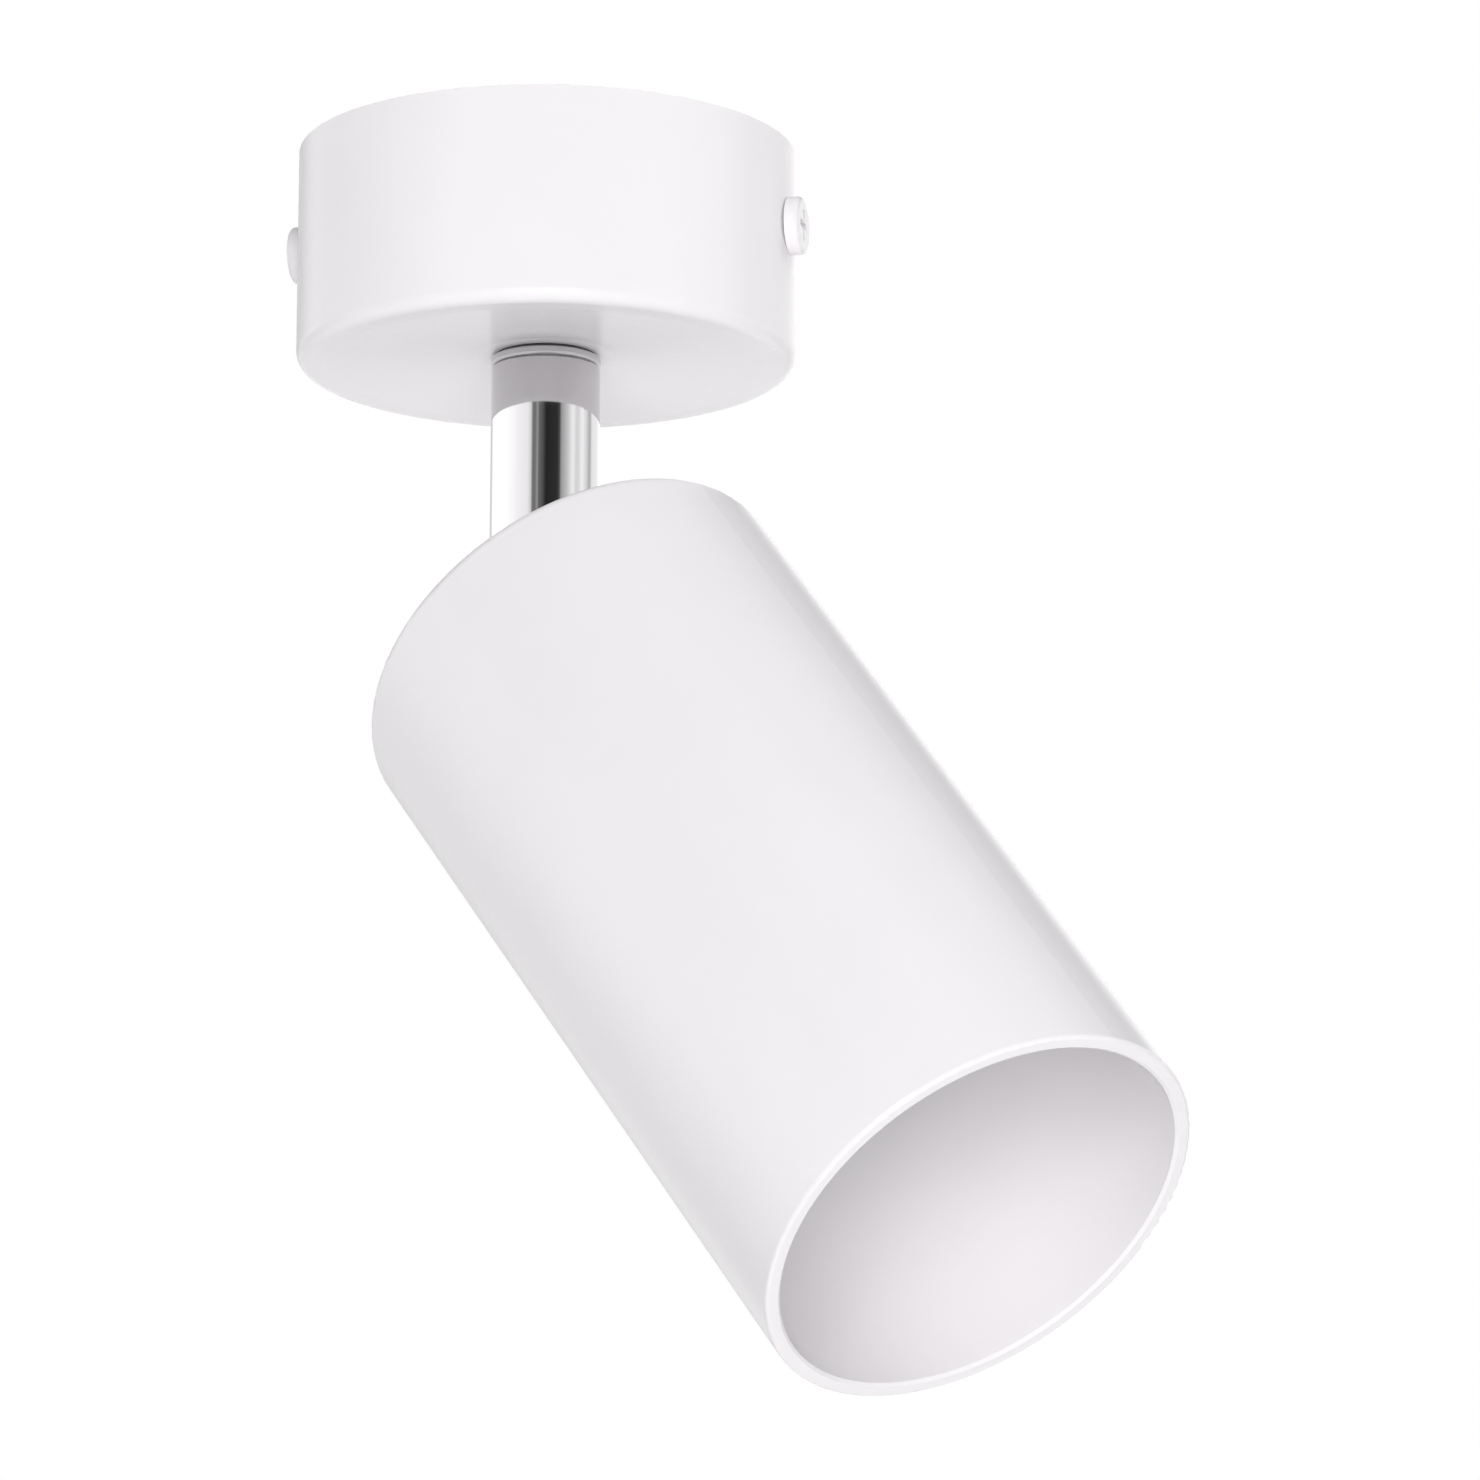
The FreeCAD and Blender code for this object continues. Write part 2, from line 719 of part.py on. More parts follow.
def terminal_fixing_screw():
    frame = "placement(vector(pole_pitch / 2; block_centre; block_under); rotation(vector(0; 0; 1); 0))"
    seat = "-running_gap"
    under = f"{seat} - block_screw_head_height"
    end = "block_height + bracket_thickness + screw_end"
    body = turned("terminal_fixing_screw", frame, [
        ("0", under),
        ("block_screw_head", under),
        ("block_screw_head", seat),
        ("block_screw_radius", seat),
        ("block_screw_radius", end),
        ("0", end),
    ])
    across = "block_screw_head * 0.8"
    up = "screw_slot_width / 2"
    slot = box_corners(f"-{across}", across, f"-{up}", up)
    pocket(body, outline(body, "XY_Plane", slot, offset=under), "screw_slot_depth", reverse=True)


# ---------------------------------------------------------------- earth point
EARTH = "placement(vector(0; -earth_offset; 0); rotation(vector(0; 0; 1); 0))"


def ring_tag(label, frame, bore, radius, under, barrel_height):
    """A flat ring with a crimped barrel that points along +X."""
    body = new_body(label, frame)
    barrel_start = f"{radius} + barrel_gap"
    neck = box_corners("0", f"{barrel_start} + barrel_length / 2", "-barrel_radius", "barrel_radius")
    pad(body, outline(body, "XY_Plane", neck, offset=under), "tag_thickness")
    disc = [("0", "0", radius)]
    pad(body, circle_sketch(body, "XY_Plane", disc, offset=under), "tag_thickness")
    hole = [("0", "0", bore)]
    pocket(body, circle_sketch(body, "XY_Plane", hole), THROUGH, both_ways=True)
    barrel = [("0", barrel_height, "barrel_radius")]
    pad(body, circle_sketch(body, "YZ_Plane", barrel, offset=barrel_start), "barrel_length")
    return body


def earth_point():
    bore = "earth_stud_radius + running_gap"
    ring("earth_stud", EARTH, "0", "earth_stud_radius", "stud_seat", "stud_seat + earth_stud_height")
    ring_tag("earth_tag", EARTH, bore, "tag_radius", "tag_seat", "earth_barrel_height")
    ring("earth_washer", EARTH, bore, "tooth_washer_radius", "tag_top", "earth_nut_under")
    hex_nut("earth_nut", EARTH, "earth_nut_flats", bore, "earth_nut_under", "earth_nut_height")


# ---------------------------------------------------------------- swivel joint
def swivel_stack():
    """Everything clamped on the nipple, which turns with the stem in the canopy floor."""
    bore = "nipple_radius + running_gap"
    ring("lower_slip_washer", STEM, bore, "slip_radius", "slip_low_under", "slip_low_top")
    ring("upper_slip_washer", STEM, bore, "spring_radius", "slip_up_under", "slip_up_top")
    hex_nut("lock_nut", STEM, "lock_nut_flats", bore, "stop_top", "lock_nut_height")


def wave_washer():
    """A conical spring washer, pressed flat enough to brake the swivel."""
    turned("spring_washer", STEM, [
        ("nipple_radius + running_gap", "spring_top"),
        ("spring_radius", "slip_up_top + tooth_washer_thickness"),
        ("spring_radius", "slip_up_top"),
        ("nipple_radius + running_gap", "spring_top - tooth_washer_thickness"),
    ])


def threaded_nipple():
    """A hollow threaded tube with a flat on its upper half, which turns the stop washer."""
    body = ring("threaded_nipple", STEM, "nipple_bore", "nipple_radius", "nipple_under", "nipple_top")
    flat = box_corners("nipple_flat", "2 * nipple_radius", "-nipple_radius", "nipple_radius")
    pocket(body, outline(body, "XY_Plane", flat, offset="spring_top"), THROUGH, reverse=True)


def stop_washer():
    """A disc with a finger over the head's direction, which meets the stud in the canopy."""
    body = new_body("stop_washer", STEM)
    disc = [("0", "0", "stop_disc_radius")]
    pad(body, circle_sketch(body, "XY_Plane", disc, offset="spring_top"), "stop_thickness")
    tip = "stop_stud_offset + stop_stud_radius + stop_finger_overhang"
    half = "stop_finger_width / 2"
    finger = box_corners("0", tip, f"-{half}", half)
    pad(body, outline(body, "XY_Plane", finger, offset="spring_top"), "stop_thickness")
    flat = "nipple_flat + running_gap"
    reach = "nipple_radius + running_gap"
    half_chord = f"sqrt(({reach}) ^ 2 - ({flat}) ^ 2)"
    corners = [(flat, half_chord), (flat, f"-{half_chord}")]
    keyed = outline(body, "XY_Plane", corners, arcs=(0,), offset="spring_top")
    pocket(body, keyed, "stop_thickness", reverse=True)


def stop_stud():
    frame = "placement(vector(-stop_stud_offset; 0; 0); rotation(vector(0; 0; 1); 0))"
    ring("stop_stud", frame, "0", "stop_stud_radius", "stop_seat", "stop_top + seat_gap")


# ---------------------------------------------------------------- stem
def stem():
    body = ring("swivel_collar", STEM, "stem_bore", "collar_radius", "collar_under", "slip_low_under")
    fillet(body, "collar_rounding", [("collar_radius", "0", "slip_low_under"),
                                     ("collar_radius", "0", "collar_under")])
    body = ring("stem_tube", STEM, "stem_bore", "stem_radius", "tube_under", "collar_under")
    chamfer(body, "collar_rounding", [("stem_radius", "0", "collar_under")])


def fork_end():
    """The slotted lower end of the stem. Two ears carry the hinge screws in sunk seats."""
    blank_end = "-1.2 * stem_radius"
    body = turned("fork_end", PIVOT, [
        ("0", blank_end),
        ("stem_radius", blank_end),
        ("stem_radius", "fork_top"),
        ("stem_bore - running_gap", "fork_top"),
        ("stem_bore - running_gap", "spigot_top"),
        ("0", "spigot_top"),
    ])
    passage = [("0", "0", "fork_bore")]
    pocket(body, circle_sketch(body, "XY_Plane", passage), THROUGH, both_ways=True)
    gap = box_corners("-fork_gap / 2", "fork_gap / 2", "-2 * stem_radius", "slot_root")
    pocket(body, outline(body, "YZ_Plane", gap), THROUGH, both_ways=True)
    below = "-1.5 * stem_radius"
    beside = "1.5 * stem_radius"
    round_end = [
        ("-stem_radius", "0"),
        ("stem_radius", "0"),
        (beside, "0"),
        (beside, below),
        (f"-{beside}", below),
        (f"-{beside}", "0"),
    ]
    pocket(body, outline(body, "XZ_Plane", round_end, arcs=(0,)), THROUGH, both_ways=True)
    holes = [("0", "0", "hinge_screw_radius + running_gap")]
    pocket(body, circle_sketch(body, "XZ_Plane", holes), THROUGH, both_ways=True)
    seat = [("0", "0", "hinge_head_radius + seat_gap")]
    near_seat = circle_sketch(body, "XZ_Plane", seat, offset="ear_seat")
    pocket(body, near_seat, "stem_radius", reverse=True)
    far_seat = circle_sketch(body, "XZ_Plane", seat, offset="-ear_seat")
    pocket(body, far_seat, "stem_radius")


# ---------------------------------------------------------------- tilt lug
def tilt_lug():
    """A round base with two leaves between the ears and a hollow thread into the head."""
    body = turned("tilt_lug", HEAD, [
        ("lug_bore", "-lug_offset"),
        ("lug_bore", "lug_end"),
        ("lug_thread_radius", "lug_end"),
        ("lug_thread_radius", "cap_top"),
        ("stem_radius", "cap_top"),
        ("stem_radius", "-lug_offset"),
    ])
    leaf = [
        ("leaf_width / 2", "0"),
        ("-leaf_width / 2", "0"),
        ("-leaf_width / 2", "-lug_offset"),
        ("leaf_width / 2", "-lug_offset"),
    ]
    sketch = outline(body, "XZ_Plane", leaf, arcs=(0,))
    pad(body, sketch, "leaf_outer", both_ways=True)
    gap = box_corners("-leaf_inner / 2", "leaf_inner / 2", "-lug_offset", "leaf_width")
    pocket(body, outline(body, "YZ_Plane", gap), THROUGH, both_ways=True)
    holes = [("0", "0", "hinge_screw_radius + running_gap")]
    pocket(body, circle_sketch(body, "XZ_Plane", holes), THROUGH, both_ways=True)


def hinge_screws():
    """Two short screws, one in each ear, so that the leads pass between them."""
    body = new_body("hinge_screws", HEAD)
    face = "ear_seat + hinge_head_height"
    sketch = outline(body, "YZ_Plane", [
        ("leaf_inner / 2", "0"),
        (face, "0"),
        (face, "hinge_head_radius"),
        ("ear_seat + running_gap", "hinge_head_radius"),
        ("ear_seat + running_gap", "hinge_screw_radius"),
        ("leaf_inner / 2", "hinge_screw_radius"),
    ])
    screw = revolve(body, sketch, "H_Axis")
    socket = "hinge_head_radius * 0.5"
    sketch = outline(body, "XZ_Plane", hexagon(f"2 * {socket}"), offset=f"-({face})")
    drive = pocket(body, sketch, "hinge_head_height * 0.6", reverse=True)
    repeat_round(body, [screw, drive])


def friction_washers():
    body = new_body("friction_washers", HEAD)
    inner_face = "leaf_outer / 2"
    outer_face = "fork_gap / 2 - running_gap"
    sketch = outline(body, "YZ_Plane", box_corners(
        inner_face, outer_face, "hinge_screw_radius + running_gap", "leaf_width / 2 - seat_gap"))
    repeat_round(body, [revolve(body, sketch, "H_Axis")])


# ---------------------------------------------------------------- head
def head_shell():
    body = turned("head_shell", HEAD, [
        ("lug_thread_radius + running_gap", "cap_top"),
        ("head_radius", "cap_top"),
        ("head_radius", "mouth"),
        ("head_bore", "mouth"),
        ("head_bore", "cap_under"),
        ("lug_thread_radius + running_gap", "cap_under"),
    ])
    fillet(body, "cap_edge_radius", [("head_radius", "0", "cap_top"), ("head_bore", "0", "cap_under")])
    fillet(body, "rim_rounding", [("head_radius", "0", "mouth")])
    chamfer(body, "rim_chamfer", [("head_bore", "0", "mouth")])


def holder_carrier():
    """A bent strip under the cap nut, whose two feet carry the lampholder."""
    body = new_body("holder_carrier", HEAD)
    inside = "carrier_reach - carrier_thickness"
    half = [
        ("carrier_reach", "cap_under"),
        ("carrier_reach", "holder_top"),
        ("carrier_foot", "holder_top"),
        ("carrier_foot", "foot_top"),
        (inside, "foot_top"),
        (inside, "carrier_under"),
    ]
    other_half = [(f"-({x})", z) for x, z in reversed(half)]
    corners = half + other_half
    pad(body, outline(body, "XZ_Plane", corners), "carrier_width", both_ways=True)
    for side in ("", "-"):
        fillet(body, "carrier_thickness * 1.6", [(f"{side}carrier_reach", "0", "cap_under"),
                                                 (f"{side}carrier_reach", "0", "holder_top")])
        fillet(body, "carrier_thickness * 0.6", [(f"{side}({inside})", "0", "foot_top"),
                                                 (f"{side}({inside})", "0", "carrier_under")])
    hole = [("0", "0", "lug_thread_radius + running_gap")]
    pocket(body, circle_sketch(body, "XY_Plane", hole), THROUGH, both_ways=True)
    threads = [(f"{side}holder_screw_offset", "0", "holder_screw_radius + running_gap")
               for side in ("", "-")]
    pocket(body, circle_sketch(body, "XY_Plane", threads, offset="foot_top"),
           "2 * carrier_thickness", both_ways=True)


def cap_fixings():
    bore = "lug_thread_radius + running_gap"
    ring("cap_washer", HEAD, bore, "cap_nut_flats / 2", "tooth_under", "carrier_under")
    quarter = " * placement(vector(0; 0; 0); rotation(vector(0; 0; 1); 90))"
    ring_tag("head_earth_tag", HEAD + quarter, bore, "cap_nut_flats / 2", "head_tag_under",
             "head_barrel_height")
    hex_nut("cap_nut", HEAD, "cap_nut_flats", bore, "cap_nut_under", "cap_nut_height")


def lampholder():
    """A ceramic twist-lock holder with two keyhole tracks for the lamp pins."""
    body = new_body("lampholder", HEAD)
    half_x = "holder_length / 2"
    half_y = "holder_width / 2"
    corners = box_corners(f"-{half_x}", half_x, f"-{half_y}", half_y)
    pad(body, outline(body, "XY_Plane", corners, offset="holder_under"), "holder_height")
    middle = "(holder_top + holder_under) / 2"
    fillet(body, "holder_corner", [(x, y, middle) for x, y in corners])
    neck_half = "pin_radius + seat_gap / 2"
    head_half = "pin_head_radius + seat_gap / 2"
    lip = "holder_under + pin_length - pin_head_height - seat_gap"
    deep = "holder_under + pin_length + seat_gap"
    wide = f"{head_half} + running_gap"
    entry = [("pin_offset", "0", wide), ("-pin_offset", "0", wide)]
    pocket(body, circle_sketch(body, "XY_Plane", entry, offset="holder_under"),
           "pin_length + seat_gap", reverse=True)
    for across, low, high in ((neck_half, "holder_under", lip), (head_half, lip, deep)):
        track = box_corners(f"pin_offset - ({across})", f"pin_offset + {across}", low, high)
        turn = number("lock_angle") + math.degrees(math.asin(number(across) / number("pin_offset")))
        before = body.Shape.Volume
        groove = revolve(body, outline(body, "XZ_Plane", track), angle=turn, kind="Groove")
        repeat_round(body, [groove])
        if body.Shape.Volume >= before:
            raise ValueError("the pin track cuts nothing")
    screws = [(f"{side}holder_screw_offset", "0") for side in ("", "-")]
    holes = [(x, y, "holder_screw_radius + running_gap") for x, y in screws]
    pocket(body, circle_sketch(body, "XY_Plane", holes), THROUGH, both_ways=True)
    sinks = [(x, y, "holder_screw_head + running_gap") for x, y in screws]
    pocket(body, circle_sketch(body, "XY_Plane", sinks, offset="holder_under"),
           "holder_screw_sink", reverse=True)
    leads = [("lead_hole", "0"), ("-lead_hole", "0")]
    entries = [(x, y, "lead_radius + running_gap") for x, y in leads]
    pocket(body, circle_sketch(body, "XY_Plane", entries, offset="holder_top"), "lead_hole_depth")


def holder_screws():
    body = new_body("holder_screws", HEAD)
    seat = "holder_under + holder_screw_sink - running_gap"
    places = [(f"{side}holder_screw_offset", "0") for side in ("", "-")]
    shanks = [(x, y, "holder_screw_radius") for x, y in places]
    heads = [(x, y, "holder_screw_head") for x, y in places]
    pad(body, circle_sketch(body, "XY_Plane", shanks, offset=seat),
        "holder_height - holder_screw_sink + carrier_thickness + screw_end")
    pad(body, circle_sketch(body, "XY_Plane", heads, offset=seat), "holder_screw_head_height",
        reverse=True)


# ---------------------------------------------------------------- lamp
def lamp_body():
    """The lamp: a narrow base that swells to the front rim, with a seat for the lens."""
    turned("lamp_body", HEAD, [
        ("0", "lamp_base"),
        ("lamp_neck_radius", "lamp_base"),
        ("lamp_neck_radius", "lamp_base - lamp_length * 0.1"),
        ("lamp_radius * 0.5", "lamp_base - lamp_length * 0.24"),
        ("lamp_radius * 0.74", "lamp_base - lamp_length * 0.48"),
        ("lamp_radius * 0.94", "lamp_base - lamp_length * 0.74"),
        ("lamp_radius", "lamp_base - lamp_length * 0.87"),
        ("lamp_radius", "lamp_face"),
        ("lens_radius + running_gap", "lamp_face"),
        ("lens_radius + running_gap", "lens_seat"),
        ("0", "lens_seat"),
    ])


def lamp_lens():
    ring("lamp_lens", HEAD, "0", "lens_radius", "lens_seat - lens_thickness", "lens_seat")


def lamp_pins():
    """Two stepped pins, turned to the locked end of their tracks."""
    turn = " * placement(vector(0; 0; 0); rotation(vector(0; 0; 1); lock_angle))"
    body = new_body("lamp_pins", HEAD + turn)
    step = "lamp_base + pin_length - pin_head_height"
    places = ("pin_offset", "-pin_offset")
    necks = [(x, "0", "pin_radius") for x in places]
    heads = [(x, "0", "pin_head_radius") for x in places]
    pad(body, circle_sketch(body, "XY_Plane", necks, offset="lamp_base"), "pin_length")
    pad(body, circle_sketch(body, "XY_Plane", heads, offset=step), "pin_head_height")


# ---------------------------------------------------------------- leads and sleeves
LIVE_ANGLE = 210
NEUTRAL_ANGLE = 330
EARTH_ANGLE = 90


def canopy_leads():
    inside = "block_near + clamp_screw_offset"
    for name, side, angle in (("live", "-", LIVE_ANGLE), ("neutral", "", NEUTRAL_ANGLE)):
        start = lead_start(angle, "sleeve_top")
        lead(f"canopy_lead_{name}", None, [
            start,
            (start[0], start[1], "(sleeve_top + clamp_height) / 2"),
            (f"{side}0.62 * pole_pitch", "1.5", "clamp_height - 0.5"),
            (f"{side}pole_pitch", "0.6 * block_near", "clamp_height"),
            (f"{side}pole_pitch", inside, "clamp_height"),
        ], "lead_radius")
    beside = "lead_radius + running_gap"
    start = lead_start(EARTH_ANGLE, "sleeve_top")
    lead("canopy_lead_earth", None, [
        start,
        (start[0], start[1], "(sleeve_top + clamp_height) / 2"),
        (f"-({beside})", "4.4", "clamp_height"),
        (f"-({beside})", inside, "clamp_height"),
    ], "lead_radius")
    barrel_end = "tag_radius + barrel_gap + barrel_length"
    lead("canopy_lead_bond", None, [
        (barrel_end, "-earth_offset", "earth_barrel_height"),
        (f"{barrel_end} + 5", "-earth_offset", "earth_barrel_height"),
        (f"{barrel_end} + 9.4", "4 - earth_offset", "earth_barrel_height + 4"),
        (f"{barrel_end} + 8.4", "10 - earth_offset", "earth_barrel_height + 10"),
        ("11.5", "-4.5", "clamp_height - 4"),
        ("5.5", "0.5", "clamp_height + 1.8"),
        (beside, "5.2", "clamp_height"),
        (beside, inside, "clamp_height"),
    ], "lead_radius")


def sleeves():
    """The sleeved leads, on the axis of the stem and then on the axis of the head."""
    lead("stem_sleeve", STEM, [("0", "0", "slot_root - pivot_depth"), ("0", "0", "sleeve_top")],
         "sleeve_radius")
    lead("hinge_sleeve", PIVOT, [
        ("0", "0", "slot_root"),
        ("0", "0", "0"),
        ("lug_offset * sin(tilt_angle)", "0", "-lug_offset * cos(tilt_angle)"),
    ], "sleeve_radius")
    lead("head_sleeve", HEAD, [("0", "0", "-lug_offset"), ("0", "0", "sleeve_end")], "sleeve_radius")


def head_leads():
    first_bend = "lug_end - 1.9"
    for name, side, angle in (("live", "-", LIVE_ANGLE), ("neutral", "", NEUTRAL_ANGLE)):
        start = lead_start(angle, "sleeve_end")
        lead(f"head_lead_{name}", HEAD, [
            start,
            (start[0], start[1], first_bend),
            (f"{side}lead_hole", "0", "holder_top + 1.1"),
            (f"{side}lead_hole", "0", "holder_top - lead_hole_depth"),
        ], "lead_radius")
    start = lead_start(EARTH_ANGLE, "sleeve_end")
    lowest = "foot_top + lead_radius + seat_gap"
    barrel_end = "cap_nut_flats / 2 + barrel_gap + barrel_length"
    lead("head_lead_earth", HEAD, [
        start,
        ("0", start[1], first_bend),
        ("0", "lead_spread + 2.5", lowest),
        ("0", f"{barrel_end} + 4.9", lowest),
        ("0", f"{barrel_end} + 6.9", f"({lowest} + head_barrel_height) / 2"),
        ("0", f"{barrel_end} + 4.9", "head_barrel_height"),
        ("0", barrel_end, "head_barrel_height"),
    ], "lead_radius")


# ---------------------------------------------------------------- build and write
def build():
    canopy_cup()
    ceiling_bracket()
    canopy_screws()
    terminal_body()
    terminal_clamps()
    terminal_screws()
    terminal_fixing_screw()
    earth_point()
    stop_stud()
    threaded_nipple()
    swivel_stack()
    wave_washer()
    stop_washer()
    stem()
    fork_end()
    tilt_lug()
    hinge_screws()
    friction_washers()
    head_shell()
    holder_carrier()
    cap_fixings()
    lampholder()
    holder_screws()
    lamp_body()
    lamp_lens()
    lamp_pins()
    canopy_leads()
    sleeves()
    head_leads()
    DOC.recompute()


def check():
    for item in DOC.Objects:
        if {"Invalid", "Error"} & set(item.State):
            raise ValueError(f"{item.Label} did not build: {item.State}")
    for node in NODES:
        if node.Shape.isNull() or not node.Shape.isValid():
            raise ValueError(f"{node.Label} has no valid solid")


def write():
    os.makedirs("parts", exist_ok=True)
    for node in NODES:
        node.Shape.exportStep(f"parts/{node.Label}.step")
        print(node.Label, len(node.Shape.Solids), round(node.Shape.Volume, 1))


build()
check()
write()
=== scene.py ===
import json
import math

import bpy
from mathutils import Matrix, Vector


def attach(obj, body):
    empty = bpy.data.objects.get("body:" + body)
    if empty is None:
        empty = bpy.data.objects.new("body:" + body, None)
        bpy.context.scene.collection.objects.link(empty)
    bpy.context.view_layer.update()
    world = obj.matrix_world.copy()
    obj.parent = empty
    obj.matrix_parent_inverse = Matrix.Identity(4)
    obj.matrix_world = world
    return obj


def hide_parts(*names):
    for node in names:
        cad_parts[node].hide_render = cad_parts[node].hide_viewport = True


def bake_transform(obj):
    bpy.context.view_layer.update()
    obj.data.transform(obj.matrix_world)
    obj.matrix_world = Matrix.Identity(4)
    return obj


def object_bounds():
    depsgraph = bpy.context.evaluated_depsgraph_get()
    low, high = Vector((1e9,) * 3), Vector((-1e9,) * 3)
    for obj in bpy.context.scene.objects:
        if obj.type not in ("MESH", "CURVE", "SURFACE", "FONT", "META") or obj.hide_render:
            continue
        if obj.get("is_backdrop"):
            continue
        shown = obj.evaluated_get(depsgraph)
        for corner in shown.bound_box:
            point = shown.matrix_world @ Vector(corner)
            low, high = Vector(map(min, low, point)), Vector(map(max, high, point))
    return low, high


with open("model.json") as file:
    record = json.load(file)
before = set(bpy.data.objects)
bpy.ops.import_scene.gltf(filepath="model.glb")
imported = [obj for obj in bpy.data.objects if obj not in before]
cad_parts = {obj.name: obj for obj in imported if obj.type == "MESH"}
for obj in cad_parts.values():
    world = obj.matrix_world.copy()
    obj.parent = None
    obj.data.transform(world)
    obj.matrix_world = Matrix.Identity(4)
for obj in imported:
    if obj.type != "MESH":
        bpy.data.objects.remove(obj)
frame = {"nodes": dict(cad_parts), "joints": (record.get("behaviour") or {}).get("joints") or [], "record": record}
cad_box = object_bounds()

MM = 0.001


# ------------------------------------------------------------------ camera
# It looks from the side of the lamp that is CAMERA_TURN degrees from -Y towards +X. CAMERA_SPOT is where it
# would stand without that turn, in millimetres. Pitch and roll are in radians.
CAMERA_TURN = 13.0
CAMERA_SPOT = (26.05, -1092.5, -327.4)
CAMERA_PITCH = 0.2228
CAMERA_ROLL = 0.0039
FOCAL_LENGTH = 206.6
SENSOR_WIDTH = 36
NEAREST = 0.05


def make_camera():
    """The photograph's viewpoint: 1.1 m away, to the right and a little below."""
    turn = Matrix.Rotation(math.radians(CAMERA_TURN), 4, "Z")
    place = turn @ Matrix.Translation(Vector(CAMERA_SPOT) * MM)
    pitch = Matrix.Rotation(math.pi / 2 + CAMERA_PITCH, 4, "X")
    roll = Matrix.Rotation(CAMERA_ROLL, 4, "Z")
    data = bpy.data.cameras.new("camera")
    data.sensor_width = SENSOR_WIDTH
    data.lens = FOCAL_LENGTH
    data.clip_start = NEAREST
    camera = bpy.data.objects.new("camera", data)
    bpy.context.scene.collection.objects.link(camera)
    camera.matrix_world = place @ pitch @ roll
    bpy.context.scene.camera = camera


# ------------------------------------------------------------------ node trees
class Graph:
    """A node tree with short ways to add nodes. An input is a value, or the output that feeds it."""

    def __init__(self, tree):
        self.tree = tree

    def feed(self, node, socket, value):
        if isinstance(value, bpy.types.NodeSocket):
            self.tree.links.new(value, node.inputs[socket])
        else:
            node.inputs[socket].default_value = value

    def add(self, kind, inputs, **settings):
        node = self.tree.nodes.new("ShaderNode" + kind)
        for name, value in settings.items():
            setattr(node, name, value)
        for socket, value in inputs.items():
            self.feed(node, socket, value)
        return node

    def maths(self, operation, *values):
        return self.add("Math", dict(enumerate(values)), operation=operation).outputs[0]

    def mapped(self, value, given, wanted, **settings):
        """Takes a value from one span to another."""
        limits = zip(("From Min", "From Max", "To Min", "To Max"), (*given, *wanted))
        return self.add("MapRange", {"Value": value, **dict(limits)}, **settings).outputs["Result"]

    def mixed_color(self, share, first, second):
        """The colour mix has its two colours at inputs 6 and 7, and its result at output 2."""
        return self.add("Mix", {0: share, 6: first, 7: second}, data_type="RGBA").outputs[2]

    def mixed_shader(self, share, first, second):
        return self.add("MixShader", {0: share, 1: first, 2: second}).outputs[0]


def grey(level):
    return (level, level, level, 1)


# ------------------------------------------------------------------ materials
NOISE_SPAN = (0.25, 0.75)


class Shader(Graph):
    """A material with a Principled shader, and short ways to vary it with noise."""

    def __init__(self, name, color, rough, metallic=0.0, **others):
        self.material = bpy.data.materials.new(name)
        self.material.use_nodes = True
        super().__init__(self.material.node_tree)
        self.bsdf = self.tree.nodes["Principled BSDF"]
        self.feed(self.bsdf, "Base Color", (*color, 1))
        self.feed(self.bsdf, "Roughness", rough)
        self.feed(self.bsdf, "Metallic", metallic)
        for word, value in others.items():
            self.feed(self.bsdf, word.replace("_", " ").title().replace("Ior", "IOR"), value)
        self.coords = self.add("TexCoord", {}).outputs["Object"]
        self.height = None

    def stretched(self, scale):
        return self.add("Mapping", {"Vector": self.coords, "Scale": scale}).outputs["Vector"]

    def noise(self, size, detail=2.0, vector=None):
        """Noise whose features are about size millimetres wide."""
        inputs = {"Vector": vector or self.coords, "Scale": 1 / (size * MM), "Detail": detail}
        return self.add("TexNoise", inputs).outputs["Fac"]

    def attribute(self, name):
        return self.add("Attribute", {}, attribute_name=name).outputs["Fac"]

    def tint(self, value, first, second, given=NOISE_SPAN):
        """Base colour between two colours."""
        share = self.mapped(value, given, (0, 1))
        self.feed(self.bsdf, "Base Color", self.mixed_color(share, (*first, 1), (*second, 1)))

    def vary_rough(self, value, low, high):
        self.feed(self.bsdf, "Roughness", self.mapped(value, NOISE_SPAN, (low, high)))

    def bump(self, value, depth):
        """Height in millimetres. Each call adds a layer."""
        inputs = {"Height": value, "Distance": depth * MM}
        if self.height:
            inputs["Normal"] = self.height
        self.height = self.add("Bump", inputs).outputs["Normal"]
        self.feed(self.bsdf, "Normal", self.height)


def paint(name, color, rough):
    """Powder coat: an even satin film with a very fine orange peel."""
    s = Shader(name, color, rough, specular_ior_level=0.33)
    darker = [c * 0.985 for c in color]
    s.tint(s.noise(14, 3), darker, color)
    s.vary_rough(s.noise(1.1, 3), rough - 0.03, rough + 0.03)
    s.bump(s.noise(0.9, 2), 0.006)
    s.bump(s.noise(0.15, 2), 0.0006)
    return s.material


def chrome(name):
    """Polished plating, a little wavy as on a drawn tube."""
    s = Shader(name, (0.6, 0.59, 0.6), 0.03, 1.0)
    s.vary_rough(s.noise(3, 4), 0.02, 0.05)
    s.bump(s.noise(7, 2), 0.004)
    return s.material


def zinc(name):
    """Zinc plate: pale grey with faint cloudy passivation and rolling marks."""
    s = Shader(name, (0.62, 0.63, 0.64), 0.34, 1.0)
    s.tint(s.noise(2.2, 5), (0.55, 0.56, 0.58), (0.7, 0.7, 0.69))
    s.vary_rough(s.noise(0.7, 4), 0.24, 0.44)
    s.bump(s.noise(0.35, 3, s.stretched((0.12, 1, 1))), 0.006)
    return s.material


